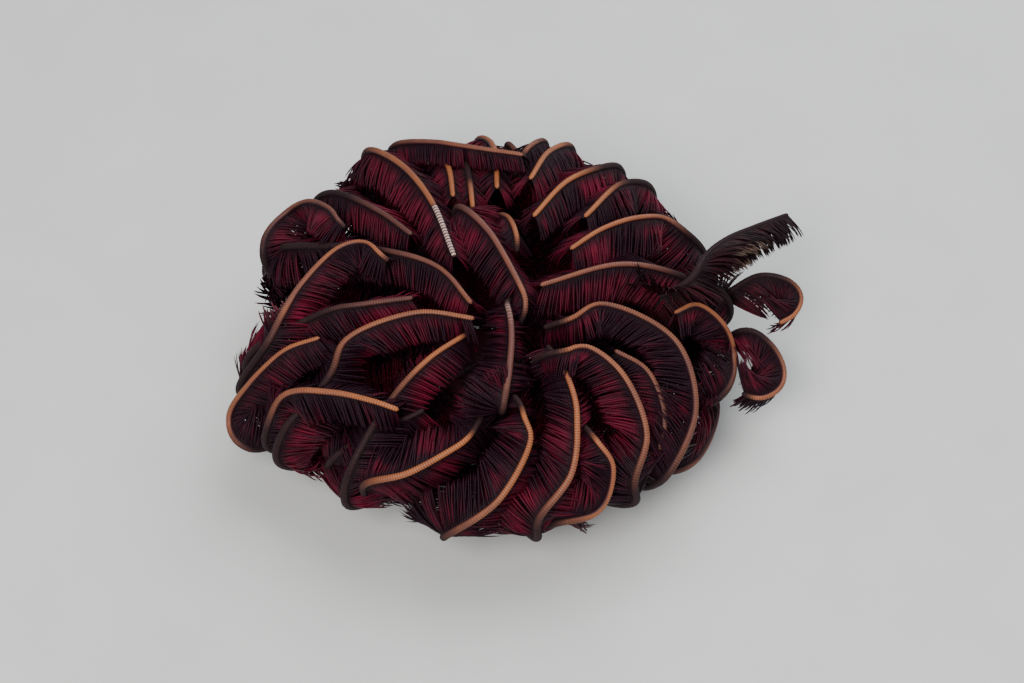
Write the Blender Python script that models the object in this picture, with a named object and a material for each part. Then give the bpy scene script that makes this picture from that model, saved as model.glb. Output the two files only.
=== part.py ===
"""A feather star curled up by day: an arm ball on a ring of cirri, life size. Metres, +Z up."""
import math

import bmesh
import bpy
import numpy as np
from mathutils import Matrix, Vector
from mathutils.kdtree import KDTree

MM = 0.001
GAP = 0.35                      # clear space between neighbouring pieces, mm

# Where the cup's axis stands on the floor, so that the box around the whole animal is centred, mm
CUP_PLACE = np.array([-13.55, 1.15, 0.0])

# The arm ball: its middle above the cup's foot and its half sizes, mm
BALL_MIDDLE = np.array([0.0, 0.0, 37.0])
BALL_HALF = np.array([84.0, 82.0, 35.0])
SIGHT_TILT = math.radians(52)   # how far above the horizon the animal is looked at
TOWARDS_EYE = np.array([0.0, -math.cos(SIGHT_TILT), math.sin(SIGHT_TILT)])
EYE_UP = np.array([0.0, math.sin(SIGHT_TILT), math.cos(SIGHT_TILT)])

# Arms, mm: where each bends over the shoulder, crosses the crown and ends, as seen to the right
# of the cup and above it. depth sinks the arm under its neighbours, reach is how far out its
# shoulder lies (0 is the ball's own), tuck is how far the tip dives on after its last station.
#        name      depth reach tuck  stations (right, above)
ARMS = [
    ("left_1",       0,   76,   4, [(-73, 53), (-68, 63), (-59, 67), (-51, 64), (-48, 60)]),
    ("left_2",       0,    0,   4, [(-69, 19), (-59, 38), (-46, 51), (-37, 53), (-33, 49)]),
    ("left_3",       5,    0,   0, [(-32, 50), (-14, 44), (-3, 32)]),
    ("left_4",       4,    0,   0, [(-50, 70), (-34, 63), (-23, 55)]),
    ("left_5",       0,    0,   0, [(-40, 85), (-27, 79), (-16, 65), (-9, 47)]),
    ("left_6",      -3,    0,   0, [(-30, 87), (-8, 85), (15, 81)]),
    ("middle_1",     0,   42,   8, [(-10, 67), (3, 55), (13, 31)]),
    ("middle_2",     0,   42,  12, [(9, -4), (10, 12), (12, 31)]),
    ("middle_3",     4,   42,   5, [(3, 64), (7, 65), (12, 54)]),
    ("back_1",       6,    0,   0, [(-15, 87), (-10, 78), (-9, 68)]),
    ("back_2",       7,    0,   0, [(-8, 84), (-5, 73), (-3, 64)]),
    ("back_3",       6,    0,   0, [(-3, 91), (3, 89), (5, 84), (5, 71)]),
    ("back_4",       5,    0,  10, [(8, 88), (14, 82)]),
    ("back_5",       3,    0,  10, [(21, 88), (15, 83)]),
    ("back_6",       0,    0,   0, [(30, 87), (22, 84), (16, 74)]),
    ("back_7",       0,    0,   0, [(38, 78), (28, 73), (17, 61)]),
    ("back_8",       0,    0,   0, [(47, 73), (34, 61)]),
    ("right_1",      0,    0,   0, [(68, 57), (62, 61), (52, 61), (40, 57), (29, 50)]),
    ("right_2",      0,    0,   0, [(63, 43), (45, 45), (19, 38)]),
    ("right_3",      0,   50,   0, [(66, 38), (74, 48), (82, 54), (91, 58), (104, 63)]),
    ("right_4",      0,    0,   0, [(84, 37), (94, 42), (104, 40), (108, 35), (105, 29), (99, 26)]),
    ("right_5",      0,    0,   0, [(88, 24), (96, 19), (100, 10), (98, 4), (91, 1), (85, 4)]),
    ("right_6",      0,    0,   0, [(80, 4), (84, 14), (80, 25), (71, 32), (63, 29)]),
    ("right_7",      0,    0,  10, [(59, -22), (69, -2), (63, 20), (39, 32), (29, 27)]),
    ("right_8",      0,    0,  12, [(49, -25), (53, -10), (45, 10), (33, 19), (28, 16)]),
    ("right_9",      4,    0,   0, [(55, -25), (60, -8), (54, 10), (43, 17)]),
    ("right_10",     4,    0,   0, [(58, -25), (71, -18), (78, -3), (74, 10)]),
    ("front_1",      0,    0,  14, [(18, -37), (29, -22), (31, -3), (27, 9)]),
    ("front_2",      0,    0,  12, [(24, -38), (38, -35), (42, -20), (37, -12)]),
    ("front_3",      0,    0,  14, [(-11, -42), (6, -30), (15, -11), (12, -4)]),
    ("front_4",      0,   76,  12, [(-39, -25), (-24, -22), (-10, -15), (-4, -11)]),
    ("front_5",      3,    0,   8, [(-28, 2), (-17, 14), (-7, 21)]),
    ("front_6",      0,    0,   0, [(-49, 10), (-44, 20), (-21, 29), (-2, 27)]),
    ("front_7",      4,    0,   0, [(-50, 30), (-38, 32), (-22, 34)]),
    ("front_8",      0,    0,   0, [(-78, -16), (-84, -6), (-76, 6), (-64, 17), (-52, 21)]),
    ("front_9",      0,    0,   0, [(-67, -8), (-62, 1), (-47, 3), (-26, -2)]),
    ("front_10",     8,    0,   0, [(-50, -20), (-35, -9), (-18, -2)]),
]

# The rays under the arms, mm: five, each forking twice before its arms part
RAY_COUNT = 5
RAY_HEIGHT = 14.0
FORK_RADII = (3.4, 9.0, 14.5, 20.0)        # where the ray starts and where it forks
FORK_THICKNESS = (2.1, 2.1, 1.8)           # half widths of the lengths between the forks
FORK_REACH = 1.2                           # how far a length runs past its fork
FORK_OVERLAP = 0.7                         # how far a fork's branch starts inside its stem
FORK_STAGGER = 0.09                        # how much farther in each of five branches starts
FORK_TAPER = 0.96
FORK_POINTS = 6                            # points along a length that are kept clear
FORK_RISE = (0.13, 0.07)                   # lift per level of a length's inner and outer end
ROOT_RADIUS = 27.0                         # where the arms lie side by side
LOW_KNOTS = ((46.0, 13.5, 0.4), (68.0, 20.0, 0.8))   # radius, height, share of the turn made
LOW_ROOM = 5.0                             # a low knot lies this far beyond the root or not at all
FLANK_LATITUDES = (-8, 17, 42)             # degrees up the ball's side
LATITUDE_ROOM = 15                         # a flank knot keeps this far below the first station
TUCK_ONWARD = 0.7                          # how much a tucked tip keeps its old direction

# An arm's thickness, mm, and how it is cut into lengths
ARM_RADIUS = 1.45
TIP_RADIUS = 0.85
TAPER = 1.6                                # how late the arm thins
BLUNT = 0.5                                # share of its thickness left at the very tip
ARM_STEP = 2.0                             # spacing of the worked-out points
CURVE_STEPS = 24                           # finer points between two knots
LOWER_SEGMENT = 15.0                       # modelled segments, under the ball and over it
UPPER_SEGMENT = 11.0
LOWER_LENGTH = 60.0                        # what stays with the ray, or less
LOWER_RISE = 25.0                          # where an arm climbs past this height
ARM_SIDES = 5

# Room between the arms, mm
ARM_SPACING = (3.5, 6.2)                   # least distance between arms, at the root and beyond
SPACING_RUN = (8.0, 34.0)                  # from where to where along an arm that grows
HOLD_RUN = 12.0                            # over how long a run a root is let go
SPREAD_ROUNDS = 80
PUSH_SHARE = 0.3                           # of the missing room, made good in one round
LIFT_SHARE = 0.5                           # of the missing height, made good in one round
KINK_ALLOWED = 0.03                        # 1 - cos of the turn from one point to the next
LOWEST_ARM = 9.0                           # no arm's middle line lies below this

# The way an arm's groove faces: along the ball's inside, and into the arm's own curl
BEND_PULL = 14.0                           # how far it follows the curl, mm
GROOVE_PULL = 0.22                         # how fast it turns from one point to the next
# Arms that curl in the open face into their own curl: the run where that starts, the curl's
# middle as seen (right, above), and the share turned away from the eye there and at the tip
CURLED = {
    "left_1": (62.0, -60.0, 52.0, 0.35, 0.4),
    "right_3": (72.0, 100.0, 30.0, -0.25, -0.25),
    "right_4": (60.0, 95.0, 33.0, 0.1, 0.5),
    "right_5": (62.0, 89.0, 13.0, 0.2, 0.6),
    "right_6": (70.0, 69.0, 14.0, 0.4, 0.4),
    "front_8": (62.0, -66.0, -4.0, 0.4, 0.4),
}
CURLED_TURN = 14.0                         # the run over which the groove turns so
CURLED_PULL = 0.7                          # how fast it turns there
LEVELLED = ("right_3",)                    # stations carried out level, not down the ball's side

# Pinnules, mm and degrees
PINNULE_PITCH = 10.5
LOWER_PITCH = 27.0                         # on the lengths under the ball
LOWER_START = 18.0                         # the first pinnule's place along an arm
END_ROOM = (2.0, 1.5)                      # kept free at the end of a lower and an upper length
CUT_ROOM = 3.0                             # kept free where an upper length starts
PINNULE_LENGTHS = (12.0, 14.5, 8.5)        # at the root, in the middle and at the tip of an arm
LENGTH_SHARES = (0, 0.45, 1)               # where along the arm those are
PINNULE_WIDTH = 0.52                       # of the arm's radius there
PINNULE_LEAST = 0.42
PINNULE_SEAT = 0.35                        # of the radius, from the arm's middle to the root
PINNULE_OPENINGS = (56, 44, 66, 34, 76, 22, 10)
CURLED_OPENINGS = (36, 48, 24, 60, 12)     # where an arm faces into its own curl
PINNULE_LEAN = 24                          # towards the arm's tip
PINNULE_CUTS = (1.0, 0.82, 0.66, 0.5)
PINNULE_POINTS = 12                        # points along a pinnule that are kept clear
OWN_FREE = 4                               # of them, those near the root may touch their own arm
ROOT_SHARE = 0.12                          # where along the pinnule the first of them lies
PINNULE_ROOM = 0.45                        # clear space round a pinnule, a little over the gap
SEARCH_REACH = 14.0                        # how far off the taken space is looked at
FLOOR_ROOM = 1.0                           # no pinnule's tip lies below this
FLAT_ANGLE = math.radians(4.0)             # faces this nearly level with each other become one

# Cup, disc and cirri, mm: the outlines of the first two as heights and shares of the radius
CUP_RADIUS = 5.6
CUP_OUTLINE = ((5.0, 0.62), (6.6, 1.0), (10.2, 1.0), (11.2, 0.8))
CUP_SIDES = 12
DISC_RADIUS = 16.5
DISC_OUTLINE = ((16.9, 0.9), (18.1, 1.0), (19.5, 0.9), (20.9, 0.62), (21.5, 0.3))
DISC_SIDES = 20
DISC_SPOTS = (1, 5, 9, 13.4)               # rings of points that keep it clear
DISC_SPOT_HEIGHT = 18.9
DISC_SPOT_RADIUS = 3.0
CIRRUS_COUNT = 16
CIRRUS_REACH = 25.0
CIRRUS_INSET = 2.2                         # how far its root lies inside the button
CIRRUS_ROOT = 9.2                          # height of the upper row's roots
ROW_STEP = (5.0, 1.6)                      # how much the lower row is shorter and lower
CIRRUS_RADIUS = 0.8
CIRRUS_SIDES = 4
CIRRUS_ARCH = 9.5                          # height of its knee above the floor
ANKLE_HEIGHT = 5.0
CIRRUS_BENDS = (0.58, 0.94)                # where along its reach its knee and ankle lie
CIRRUS_SWAY = (0.05, 0.08, 0.09)           # its turn at the knee, ankle and foot
CIRRUS_STEP = 7.0
FOOT_HEIGHT = 1.5                          # the last upright length above its flat foot

RIDGE_COLOUR = (0.42, 0.13, 0.055)
PINNULE_COLOUR = (0.12, 0.008, 0.018)
CUP_COLOUR = (0.20, 0.06, 0.035)


def unit(v):
    return v / max(np.linalg.norm(v), 1e-9)


def polar(radius, bearing, height):
    return np.array([radius * math.cos(bearing), radius * math.sin(bearing), height])


def turn_between(a, b):
    """The signed turn from bearing a to bearing b, the short way."""
    return (b - a + math.pi) % (2 * math.pi) - math.pi


def seen_on_ball(right, above, depth):
    """The place on the ball, sunk by depth, that lies under one point of the view."""
    start = np.array([right, 0.0, 0.0]) + above * EYE_UP
    run = TOWARDS_EYE / BALL_HALF
    offset = (start - BALL_MIDDLE) / BALL_HALF
    a, b, c = run @ run, 2 * run @ offset, offset @ offset - 1
    along = (-b + math.sqrt(max(b * b - 4 * a * c, 0))) / (2 * a)
    return start + (along - depth) * TOWARDS_EYE


def resample(points, step):
    """The same line with its points a step apart."""
    run = np.concatenate([[0], np.cumsum(np.linalg.norm(np.diff(points, axis=0), axis=1))])
    places = np.linspace(0, run[-1], max(4, round(run[-1] / step)) + 1)
    return np.stack([np.interp(places, run, points[:, k]) for k in range(3)], axis=1)


def smooth_curve(knots, step):
    """A curve through the knots that never loops, however unevenly they lie."""
    knots = [np.asarray(k, float) for k in knots]
    ends = [2 * knots[0] - knots[1]] + knots + [2 * knots[-1] - knots[-2]]
    fine = []
    for p0, p1, p2, p3 in zip(ends, ends[1:], ends[2:], ends[3:]):
        t1 = np.linalg.norm(p1 - p0) ** 0.5
        t2 = t1 + np.linalg.norm(p2 - p1) ** 0.5
        t3 = t2 + np.linalg.norm(p3 - p2) ** 0.5
        for t in np.linspace(t1, t2, CURVE_STEPS, endpoint=False):
            a1 = (t1 - t) / t1 * p0 + t / t1 * p1
            a2 = (t2 - t) / (t2 - t1) * p1 + (t - t1) / (t2 - t1) * p2
            a3 = (t3 - t) / (t3 - t2) * p2 + (t - t2) / (t3 - t2) * p3
            b1 = (t2 - t) / t2 * a1 + t / t2 * a2
            b2 = (t3 - t) / (t3 - t1) * a2 + (t - t1) / (t3 - t1) * a3
            fine.append((t2 - t) / (t2 - t1) * b1 + (t - t1) / (t2 - t1) * b2)
    return resample(np.array(fine + [knots[-1]]), step)


def stations_on_ball(name, depth, stations):
    """Where an arm's stations lie in space."""
    seen = [seen_on_ball(right, above, depth) for right, above in stations]
    if name in LEVELLED:
        near = np.array([s @ TOWARDS_EYE for s in seen])
        level = np.linspace(near[0], near[-1], len(seen))
        seen = [s + (a - b) * TOWARDS_EYE for s, a, b in zip(seen, level, near)]
    return seen


def arm_knots(fork_bearing, root_bearing, depth, reach, tuck, seen):
    """The knots of one arm: out along the ball's underside, up its flank, then its stations."""
    first = seen[0]
    scaled = (first - BALL_MIDDLE) / BALL_HALF
    bearing = math.atan2(first[1], first[0])
    latitude = math.degrees(math.atan2(scaled[2], math.hypot(scaled[0], scaled[1])))
    turn = turn_between(root_bearing, bearing)
    sunk = max(depth, 0)
    girth = (reach or BALL_HALF[0] - sunk) / BALL_HALF[0]
    knots = [polar(FORK_RADII[-1], fork_bearing, RAY_HEIGHT), polar(ROOT_RADIUS, root_bearing, RAY_HEIGHT)]
    for radius, height, share in LOW_KNOTS:
        if radius * girth > ROOT_RADIUS + LOW_ROOM:
            knots.append(polar(radius * girth, root_bearing + share * turn, height))
    for flank in FLANK_LATITUDES:
        if flank < latitude - LATITUDE_ROOM:
            lie = math.radians(flank)
            side = BALL_HALF[:2] * girth * math.cos(lie)
            high = BALL_MIDDLE[2] + (BALL_HALF[2] - sunk) * math.sin(lie)
            knots.append(np.array([side[0] * math.cos(bearing), side[1] * math.sin(bearing), high]))
    knots += seen
    if tuck:
        onward = unit(unit(seen[-1] - seen[-2]) * TUCK_ONWARD + unit(BALL_MIDDLE - seen[-1]))
        knots.append(seen[-1] + onward * tuck)
    return knots


def crowding(flat, owner, room):
    """The push that each point gets from other arms' points that lie too near."""
    tree = KDTree(len(flat))
    for i, p in enumerate(flat):
        tree.insert(p, i)
    tree.balance()
    push = np.zeros_like(flat)
    for i, p in enumerate(flat):
        for q, j, far in tree.find_range(p, room[i]):
            need = min(room[i], room[j]) - far
            if owner[j] != owner[i] and need > 0:
                push[i] += (p - np.array(q)) / max(far, 0.01) * need * PUSH_SHARE
    push[:, 2] += np.clip(LOWEST_ARM - flat[:, 2], 0, None) * LIFT_SHARE
    return push


def spread_apart(paths):
    """Moves the arms off each other where two lie closer than their thickness allows."""
    starts = np.cumsum([0] + [len(p) for p in paths])
    owner = np.repeat(np.arange(len(paths)), [len(p) for p in paths])
    run = np.concatenate([np.arange(len(p)) * ARM_STEP for p in paths])
    room = np.interp(run, SPACING_RUN, ARM_SPACING)
    hold = np.clip((run - SPACING_RUN[0]) / HOLD_RUN, 0, 1)[:, None]
    home = np.concatenate(paths)
    flat = home.copy()
    for _ in range(SPREAD_ROUNDS):
        shift = flat + crowding(flat, owner, room) * hold - home
        for a, b in zip(starts, starts[1:]):
            s = shift[a:b]
            s[1:-1] = 0.5 * s[1:-1] + 0.25 * (s[:-2] + s[2:])
        flat = home + shift
        for a, b in zip(starts, starts[1:]):
            p = flat[a:b]
            way = np.diff(p, axis=0)
            way /= np.linalg.norm(way, axis=1)[:, None]
            kink = 1 - (way[1:] * way[:-1]).sum(1)
            ease = np.clip((kink - KINK_ALLOWED) / KINK_ALLOWED, 0, 1)[:, None] * hold[a + 1:b - 1]
            p[1:-1] += ease * 0.5 * ((p[:-2] + p[2:]) / 2 - p[1:-1])
    return [flat[a:b] for a, b in zip(starts, starts[1:])]


def curled_groove(name, path, wanted):
    """Turns the groove of an arm that curls in the open into its own curl."""
    start, right, above, near_away, far_away = CURLED[name]
    middle = np.array([right, 0, 0]) + above * EYE_UP
    seen = path - (path @ TOWARDS_EYE)[:, None] * TOWARDS_EYE
    into = middle - seen
    into /= np.maximum(np.linalg.norm(into, axis=1), 1)[:, None]
    run = np.arange(len(path)) * ARM_STEP
    away = np.interp(run, (start, run[-1]), (near_away, far_away))[:, None]
    share = np.clip((run - start) / CURLED_TURN, 0, 1)[:, None]
    wanted = wanted * (1 - share) + (into * (1 - abs(away)) - away * TOWARDS_EYE) * share
    return wanted, GROOVE_PULL + (CURLED_PULL - GROOVE_PULL) * share[:, 0]


def arm_frames(name, path):
    """Along an arm: its direction and the way its grooved side faces."""
    tangent = np.gradient(path, axis=0)
    tangent /= np.linalg.norm(tangent, axis=1)[:, None]
    bend = np.gradient(tangent, axis=0) / ARM_STEP
    inward = (BALL_MIDDLE - path) / BALL_HALF ** 2
    inward /= np.linalg.norm(inward, axis=1)[:, None]
    wanted = inward + bend * BEND_PULL
    pull = np.full(len(path), GROOVE_PULL)
    if name in CURLED:
        wanted, pull = curled_groove(name, path, wanted)
    groove = wanted.copy()
    for i in range(len(path)):
        if i:
            groove[i] = groove[i - 1] * (1 - pull[i]) + unit(wanted[i]) * pull[i]
        groove[i] = unit(groove[i] - tangent[i] * (groove[i] @ tangent[i]))
    return tangent, groove


def arm_radius(share):
    """Thickness along an arm, share 0 at its root and 1 at its tip."""
    return TIP_RADIUS + (ARM_RADIUS - TIP_RADIUS) * (1 - share ** TAPER)


def fork_groups(arms, ray):
    """How a ray shares out its arms: at each fork the group parts in two."""
    levels = [[sorted(arm["root"] for arm in arms if arm["ray"] == ray)]]
    while len(levels) < len(FORK_THICKNESS):
        split = []
        for group in levels[-1]:
            half = (len(group) + 1) // 2
            split += [group[:half], group[half:]]
        levels.append(split)
    return levels


def lay_out_arms():
    """Every arm's path, with its ray, in order around the cup."""
    rows = []
    for name, depth, reach, tuck, stations in ARMS:
        seen = stations_on_ball(name, depth, stations)
        rows.append((math.atan2(seen[0][1], seen[0][0]) % (2 * math.pi), name, depth, reach, tuck, seen))
    rows.sort(key=lambda row: row[0])
    turns = [i * 2 * math.pi / len(rows) for i in range(len(rows))]
    skew = math.atan2(sum(math.sin(r[0] - t) for r, t in zip(rows, turns)),
                      sum(math.cos(r[0] - t) for r, t in zip(rows, turns)))
    arms = [{"name": row[1], "ray": i * RAY_COUNT // len(rows), "root": turn + skew}
            for i, (row, turn) in enumerate(zip(rows, turns))]
    for ray in range(RAY_COUNT):
        for group in fork_groups(arms, ray)[-1]:
            for arm in arms:
                if arm["root"] in group:
                    arm["fork"] = sum(group) / len(group)
    for arm, row in zip(arms, rows):
        arm["path"] = smooth_curve(arm_knots(arm["fork"], arm["root"], *row[2:]), ARM_STEP)
    for arm, path in zip(arms, spread_apart([a["path"] for a in arms])):
        arm["path"] = path
        arm["tangent"], arm["groove"] = arm_frames(arm["name"], path)
        arm["radius"] = arm_radius(np.linspace(0, 1, len(path)))
        arm["length"] = (len(path) - 1) * ARM_STEP
        arm["ray_node"] = "ray_%d" % (arm["ray"] + 1)
        arm["node"] = "arm_" + arm["name"]
        arm["cut"] = min(LOWER_LENGTH, np.nonzero(path[:, 2] > LOWER_RISE)[0][0] * ARM_STEP)
    return arms


def new_object(name, bm, material, collection):
    bmesh.ops.recalc_face_normals(bm, faces=bm.faces)
    mesh = bpy.data.meshes.new(name)
    bm.to_mesh(mesh)
    bm.free()
    mesh.materials.append(material)
    obj = bpy.data.objects.new(name, mesh)
    collection.objects.link(obj)
    return obj


def ring_frames(points, ways, ups):
    """For each ring its direction and two sides, by default with as little twist as can be."""
    up = np.cross(points[1] - points[0], [0.31, 0.17, 0.94])
    for i in range(len(points)):
        ahead = unit(points[min(i + 1, len(points) - 1)] - points[max(i - 1, 0)])
        if ways is not None:
            ahead = unit(ways[i])
        if ups is not None:
            up = ups[i]
        up = unit(up - ahead * (up @ ahead))
        yield up, np.cross(ahead, up)


def ringed_tube(points, radii, sides, material, collection, name, ways=None, ups=None):
    """A grid rolled up into a closed tube, its rings square to ways with a corner at ups."""
    points = np.asarray(points, float)
    last = len(points) - 1
    frames = list(ring_frames(points, ways, ups))
    bm = bmesh.new()
    bmesh.ops.create_grid(bm, x_segments=last, y_segments=sides, size=1)
    for vert in bm.verts:
        i = round((vert.co.x + 1) / 2 * last)
        turn = 2 * math.pi * (round((vert.co.y + 1) / 2 * sides) % sides) / sides
        up, side = frames[i]
        spot = points[i] + radii[i] * (math.cos(turn) * up + math.sin(turn) * side)
        vert.co = Vector((spot + CUP_PLACE) * MM)
    bmesh.ops.remove_doubles(bm, verts=bm.verts, dist=1e-8)
    bmesh.ops.holes_fill(bm, edges=[edge for edge in bm.edges if edge.is_boundary], sides=sides)
    return new_object(name, bm, material, collection)


def spine(root, tip, width, wide_way, material, collection):
    """One pinnule: a three-sided spine from inside the arm to its point."""
    ahead = unit(tip - root)
    wide = unit(wide_way - ahead * (wide_way @ ahead))
    turned = np.stack([wide, np.cross(ahead, wide), ahead], axis=1)
    middle = ((root + tip) / 2 + CUP_PLACE) * MM
    place = Matrix.Translation(middle) @ Matrix(turned.tolist()).to_4x4()
    bm = bmesh.new()
    bmesh.ops.create_cone(bm, cap_ends=True, segments=3, radius1=width * MM, radius2=0,
                          depth=np.linalg.norm(tip - root) * MM, matrix=place)
    return new_object("pinnule", bm, material, collection)


def connected(bm):
    """The faces of a mesh, sorted into its separate surfaces."""
    seen, groups = set(), []
    for face in bm.faces:
        if face in seen:
            continue
        seen.add(face)
        group, queue = [], [face]
        while queue:
            f = queue.pop()
            group.append(f)
            for edge in f.edges:
                for other in edge.link_faces:
                    if other not in seen:
                        seen.add(other)
                        queue.append(other)
        groups.append(group)
    return groups


def keep_largest(mesh):
    """Leaves only the largest closed surface, with nearly level faces made one."""
    bm = bmesh.new()
    bm.from_mesh(mesh)
    bmesh.ops.triangulate(bm, faces=bm.faces)
    for group in sorted(connected(bm), key=len)[:-1]:
        bmesh.ops.delete(bm, geom=group, context="FACES")
    loose = [v for v in bm.verts if not v.link_faces]
    bmesh.ops.delete(bm, geom=loose, context="VERTS")
    bmesh.ops.dissolve_limit(bm, angle_limit=FLAT_ANGLE, verts=bm.verts, edges=bm.edges)
    bmesh.ops.triangulate(bm, faces=bm.faces)
    bm.to_mesh(mesh)
    bm.free()


def join(name, pieces, material, model):
    """Joins a node's pieces with one union and keeps its largest closed surface."""
    base, rest = pieces[0], pieces[1:]
    if rest:
        group = bpy.data.collections.new(name + "_pieces")
        bpy.context.scene.collection.children.link(group)
        for piece in rest:
            group.objects.link(piece)
        union = base.modifiers.new("union", "BOOLEAN")
        union.operation = "UNION"
        union.operand_type = "COLLECTION"
        union.collection = group
        union.solver = "EXACT"
        evaluated = base.evaluated_get(bpy.context.evaluated_depsgraph_get())
        mesh = bpy.data.meshes.new_from_object(evaluated)
        base.modifiers.remove(union)
        base.data = mesh
        for piece in rest:
            bpy.data.objects.remove(piece)
        bpy.data.collections.remove(group)
    keep_largest(base.data)
    base.data.materials.clear()
    base.data.materials.append(material)
    base.name = name
    base.data.name = name
    for home in list(base.users_collection):
        home.objects.unlink(base)
    model.objects.link(base)
    return base


class Crowd:
    """The space already taken: points with a radius, each owned by a node."""

    def __init__(self):
        self.points = np.zeros((0, 3))
        self.radii = np.zeros(0)
        self.owners = np.zeros(0, int)
        self.outer = np.zeros(0, bool)
        self.names = {}

    def number(self, node):
        return self.names.setdefault(node, len(self.names))

    def add(self, points, radii, node, outer_from=None):
        self.points = np.concatenate([self.points, points])
        self.radii = np.concatenate([self.radii, radii])
        self.owners = np.concatenate([self.owners, np.full(len(points), self.number(node))])
        outer = np.arange(len(points)) >= (len(points) if outer_from is None else outer_from)
        self.outer = np.concatenate([self.outer, outer])

    def clear(self, points, radii, node, own=False):
        """Whether a spine's points keep off other nodes, or off the outer spines of its own."""
        mine = self.owners == self.number(node)
        if own:
            mine = ~mine | ~self.outer
            points, radii = points[OWN_FREE:], radii[OWN_FREE:]
        near = (np.abs(self.points - points.mean(0)).max(1) < SEARCH_REACH) & ~mine
        if not near.any():
            return True
        far = np.linalg.norm(points[:, None] - self.points[near][None], axis=2)
        room = 0 if own else PINNULE_ROOM
        return bool((far > radii[:, None] + self.radii[near][None] + room).all())


def free_pinnule(seat, tangent, groove, across, length, width, openings, node, crowd):
    """The longest and best spread pinnule from one seat that keeps clear, or nothing."""
    lean = math.radians(PINNULE_LEAN)
    shares = np.linspace(ROOT_SHARE, 1, PINNULE_POINTS)
    thick = width * (1 - shares)
    for cut in PINNULE_CUTS:
        for opening in openings:
            lie = math.radians(opening)
            side = math.cos(lie) * groove + math.sin(lie) * across
            tip = seat + unit(math.cos(lean) * side + math.sin(lean) * tangent) * length * cut
            body = seat + (tip - seat) * shares[:, None]
            if (tip[2] > FLOOR_ROOM and crowd.clear(body, thick, node)
                    and crowd.clear(body, thick, node, own=True)):
                crowd.add(body, thick, node, OWN_FREE)
                return tip
    return None


def grow_pinnules(arm, node, first, last, pitch, crowd, material, collection):
    """Pinnules along one length of an arm, to either side in turn, each bent or cut clear."""
    spines = []
    steps = np.arange(len(arm["path"])) * ARM_STEP
    corner = math.pi / ARM_SIDES
    for number, place in enumerate(np.arange(first, last, pitch / 2)):
        p, t, g = (np.array([np.interp(place, steps, arm[key][:, k]) for k in range(3)])
                   for key in ("path", "tangent", "groove"))
        t, g = unit(t), unit(g)
        r = float(np.interp(place, steps, arm["radius"]))
        across = np.cross(t, g) * (-1 if number % 2 else 1)
        seat = p + r * PINNULE_SEAT * (math.cos(corner) * g + math.sin(corner) * across)
        width = max(r * PINNULE_WIDTH, PINNULE_LEAST)
        length = float(np.interp(place / arm["length"], LENGTH_SHARES, PINNULE_LENGTHS)) + r
        curled = place > CURLED.get(arm["name"], (arm["length"],))[0]
        openings = CURLED_OPENINGS if curled else PINNULE_OPENINGS
        tip = free_pinnule(seat, t, g, across, length, width, openings, node, crowd)
        if tip is not None:
            spines.append(spine(seat, tip, width, t, material, collection))
    return spines


def fork_tubes(arms, ray, crowd, node, material, collection):
    """The forking lengths of one ray, from the cup's edge out to its arms' roots."""
    levels = fork_groups(arms, ray)
    tubes = []
    for level, groups in enumerate(levels):
        for group in groups:
            parent = next((g for g in levels[level - 1] if group[0] in g), group) if level else group
            inner = polar(FORK_RADII[level], sum(parent) / len(parent), RAY_HEIGHT + level * FORK_RISE[0])
            outer = polar(FORK_RADII[level + 1] + FORK_REACH, sum(group) / len(group),
                          RAY_HEIGHT + level * FORK_RISE[1])
            r = FORK_THICKNESS[level]
            overlap = FORK_OVERLAP + FORK_STAGGER * (len(tubes) % 5) if level else 0
            start = inner - unit(outer - inner) * overlap
            tubes.append(ringed_tube([start, outer], [r, r * FORK_TAPER], ARM_SIDES, material,
                                     collection, "fork"))
            steps = np.linspace(0, 1, FORK_POINTS)[:, None]
            crowd.add(inner + (outer - inner) * steps, np.full(FORK_POINTS, r), node)
    return tubes


def arm_tube(arm, first, last, segment, material, collection, name):
    """One length of an arm as a tube, between two places along it.

    A corner of its rings follows the groove, but not where the groove turns within one segment.
    """
    end = len(arm["path"]) - 1
    count = max(2, round((last - first) / segment))
    index = np.clip(np.linspace(first, last, count + 1) / ARM_STEP, 0, end)
    steps = np.arange(end + 1)
    points, ways, ups = (np.stack([np.interp(index, steps, arm[key][:, k]) for k in range(3)], axis=1)
                         for key in ("path", "tangent", "groove"))
    radii = np.interp(index, steps, arm["radius"])
    if arm["name"] in CURLED:
        ups = None
    if index[-1] == end:
        radii[-1] *= BLUNT
    return ringed_tube(points, radii, ARM_SIDES, material, collection, name, ways, ups)


def build_ray(arms, ray, crowd, material, workshop, model):
    """A ray's forks and the lower lengths of its arms, with their pinnules."""
    node = "ray_%d" % (ray + 1)
    mine = [arm for arm in arms if arm["ray"] == ray]
    pieces = fork_tubes(arms, ray, crowd, node, material, workshop)
    for arm in mine:
        pieces.append(arm_tube(arm, 0, arm["cut"], LOWER_SEGMENT, material, workshop, "lower"))
    for arm in mine:
        pieces += grow_pinnules(arm, node, LOWER_START, arm["cut"] - END_ROOM[0], LOWER_PITCH,
                                crowd, material, workshop)
    return join(node, pieces, material, model)


def build_arm(arm, crowd, material, workshop, model):
    """The upper length of one arm, with its pinnules."""
    node = arm["node"]
    pieces = [arm_tube(arm, arm["cut"] + GAP, arm["length"], UPPER_SEGMENT, material, workshop, node)]
    pieces += grow_pinnules(arm, node, arm["cut"] + CUT_ROOM, arm["length"] - END_ROOM[1],
                            PINNULE_PITCH, crowd, material, workshop)
    return join(node, pieces, material, model)


def turned_outline(outline, radius):
    """The middles and radii of the rings of a body turned about the cup's axis."""
    axis = np.array([[0, 0, height] for height, _ in outline])
    return axis, np.array([share for _, share in outline]) * radius


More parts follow.
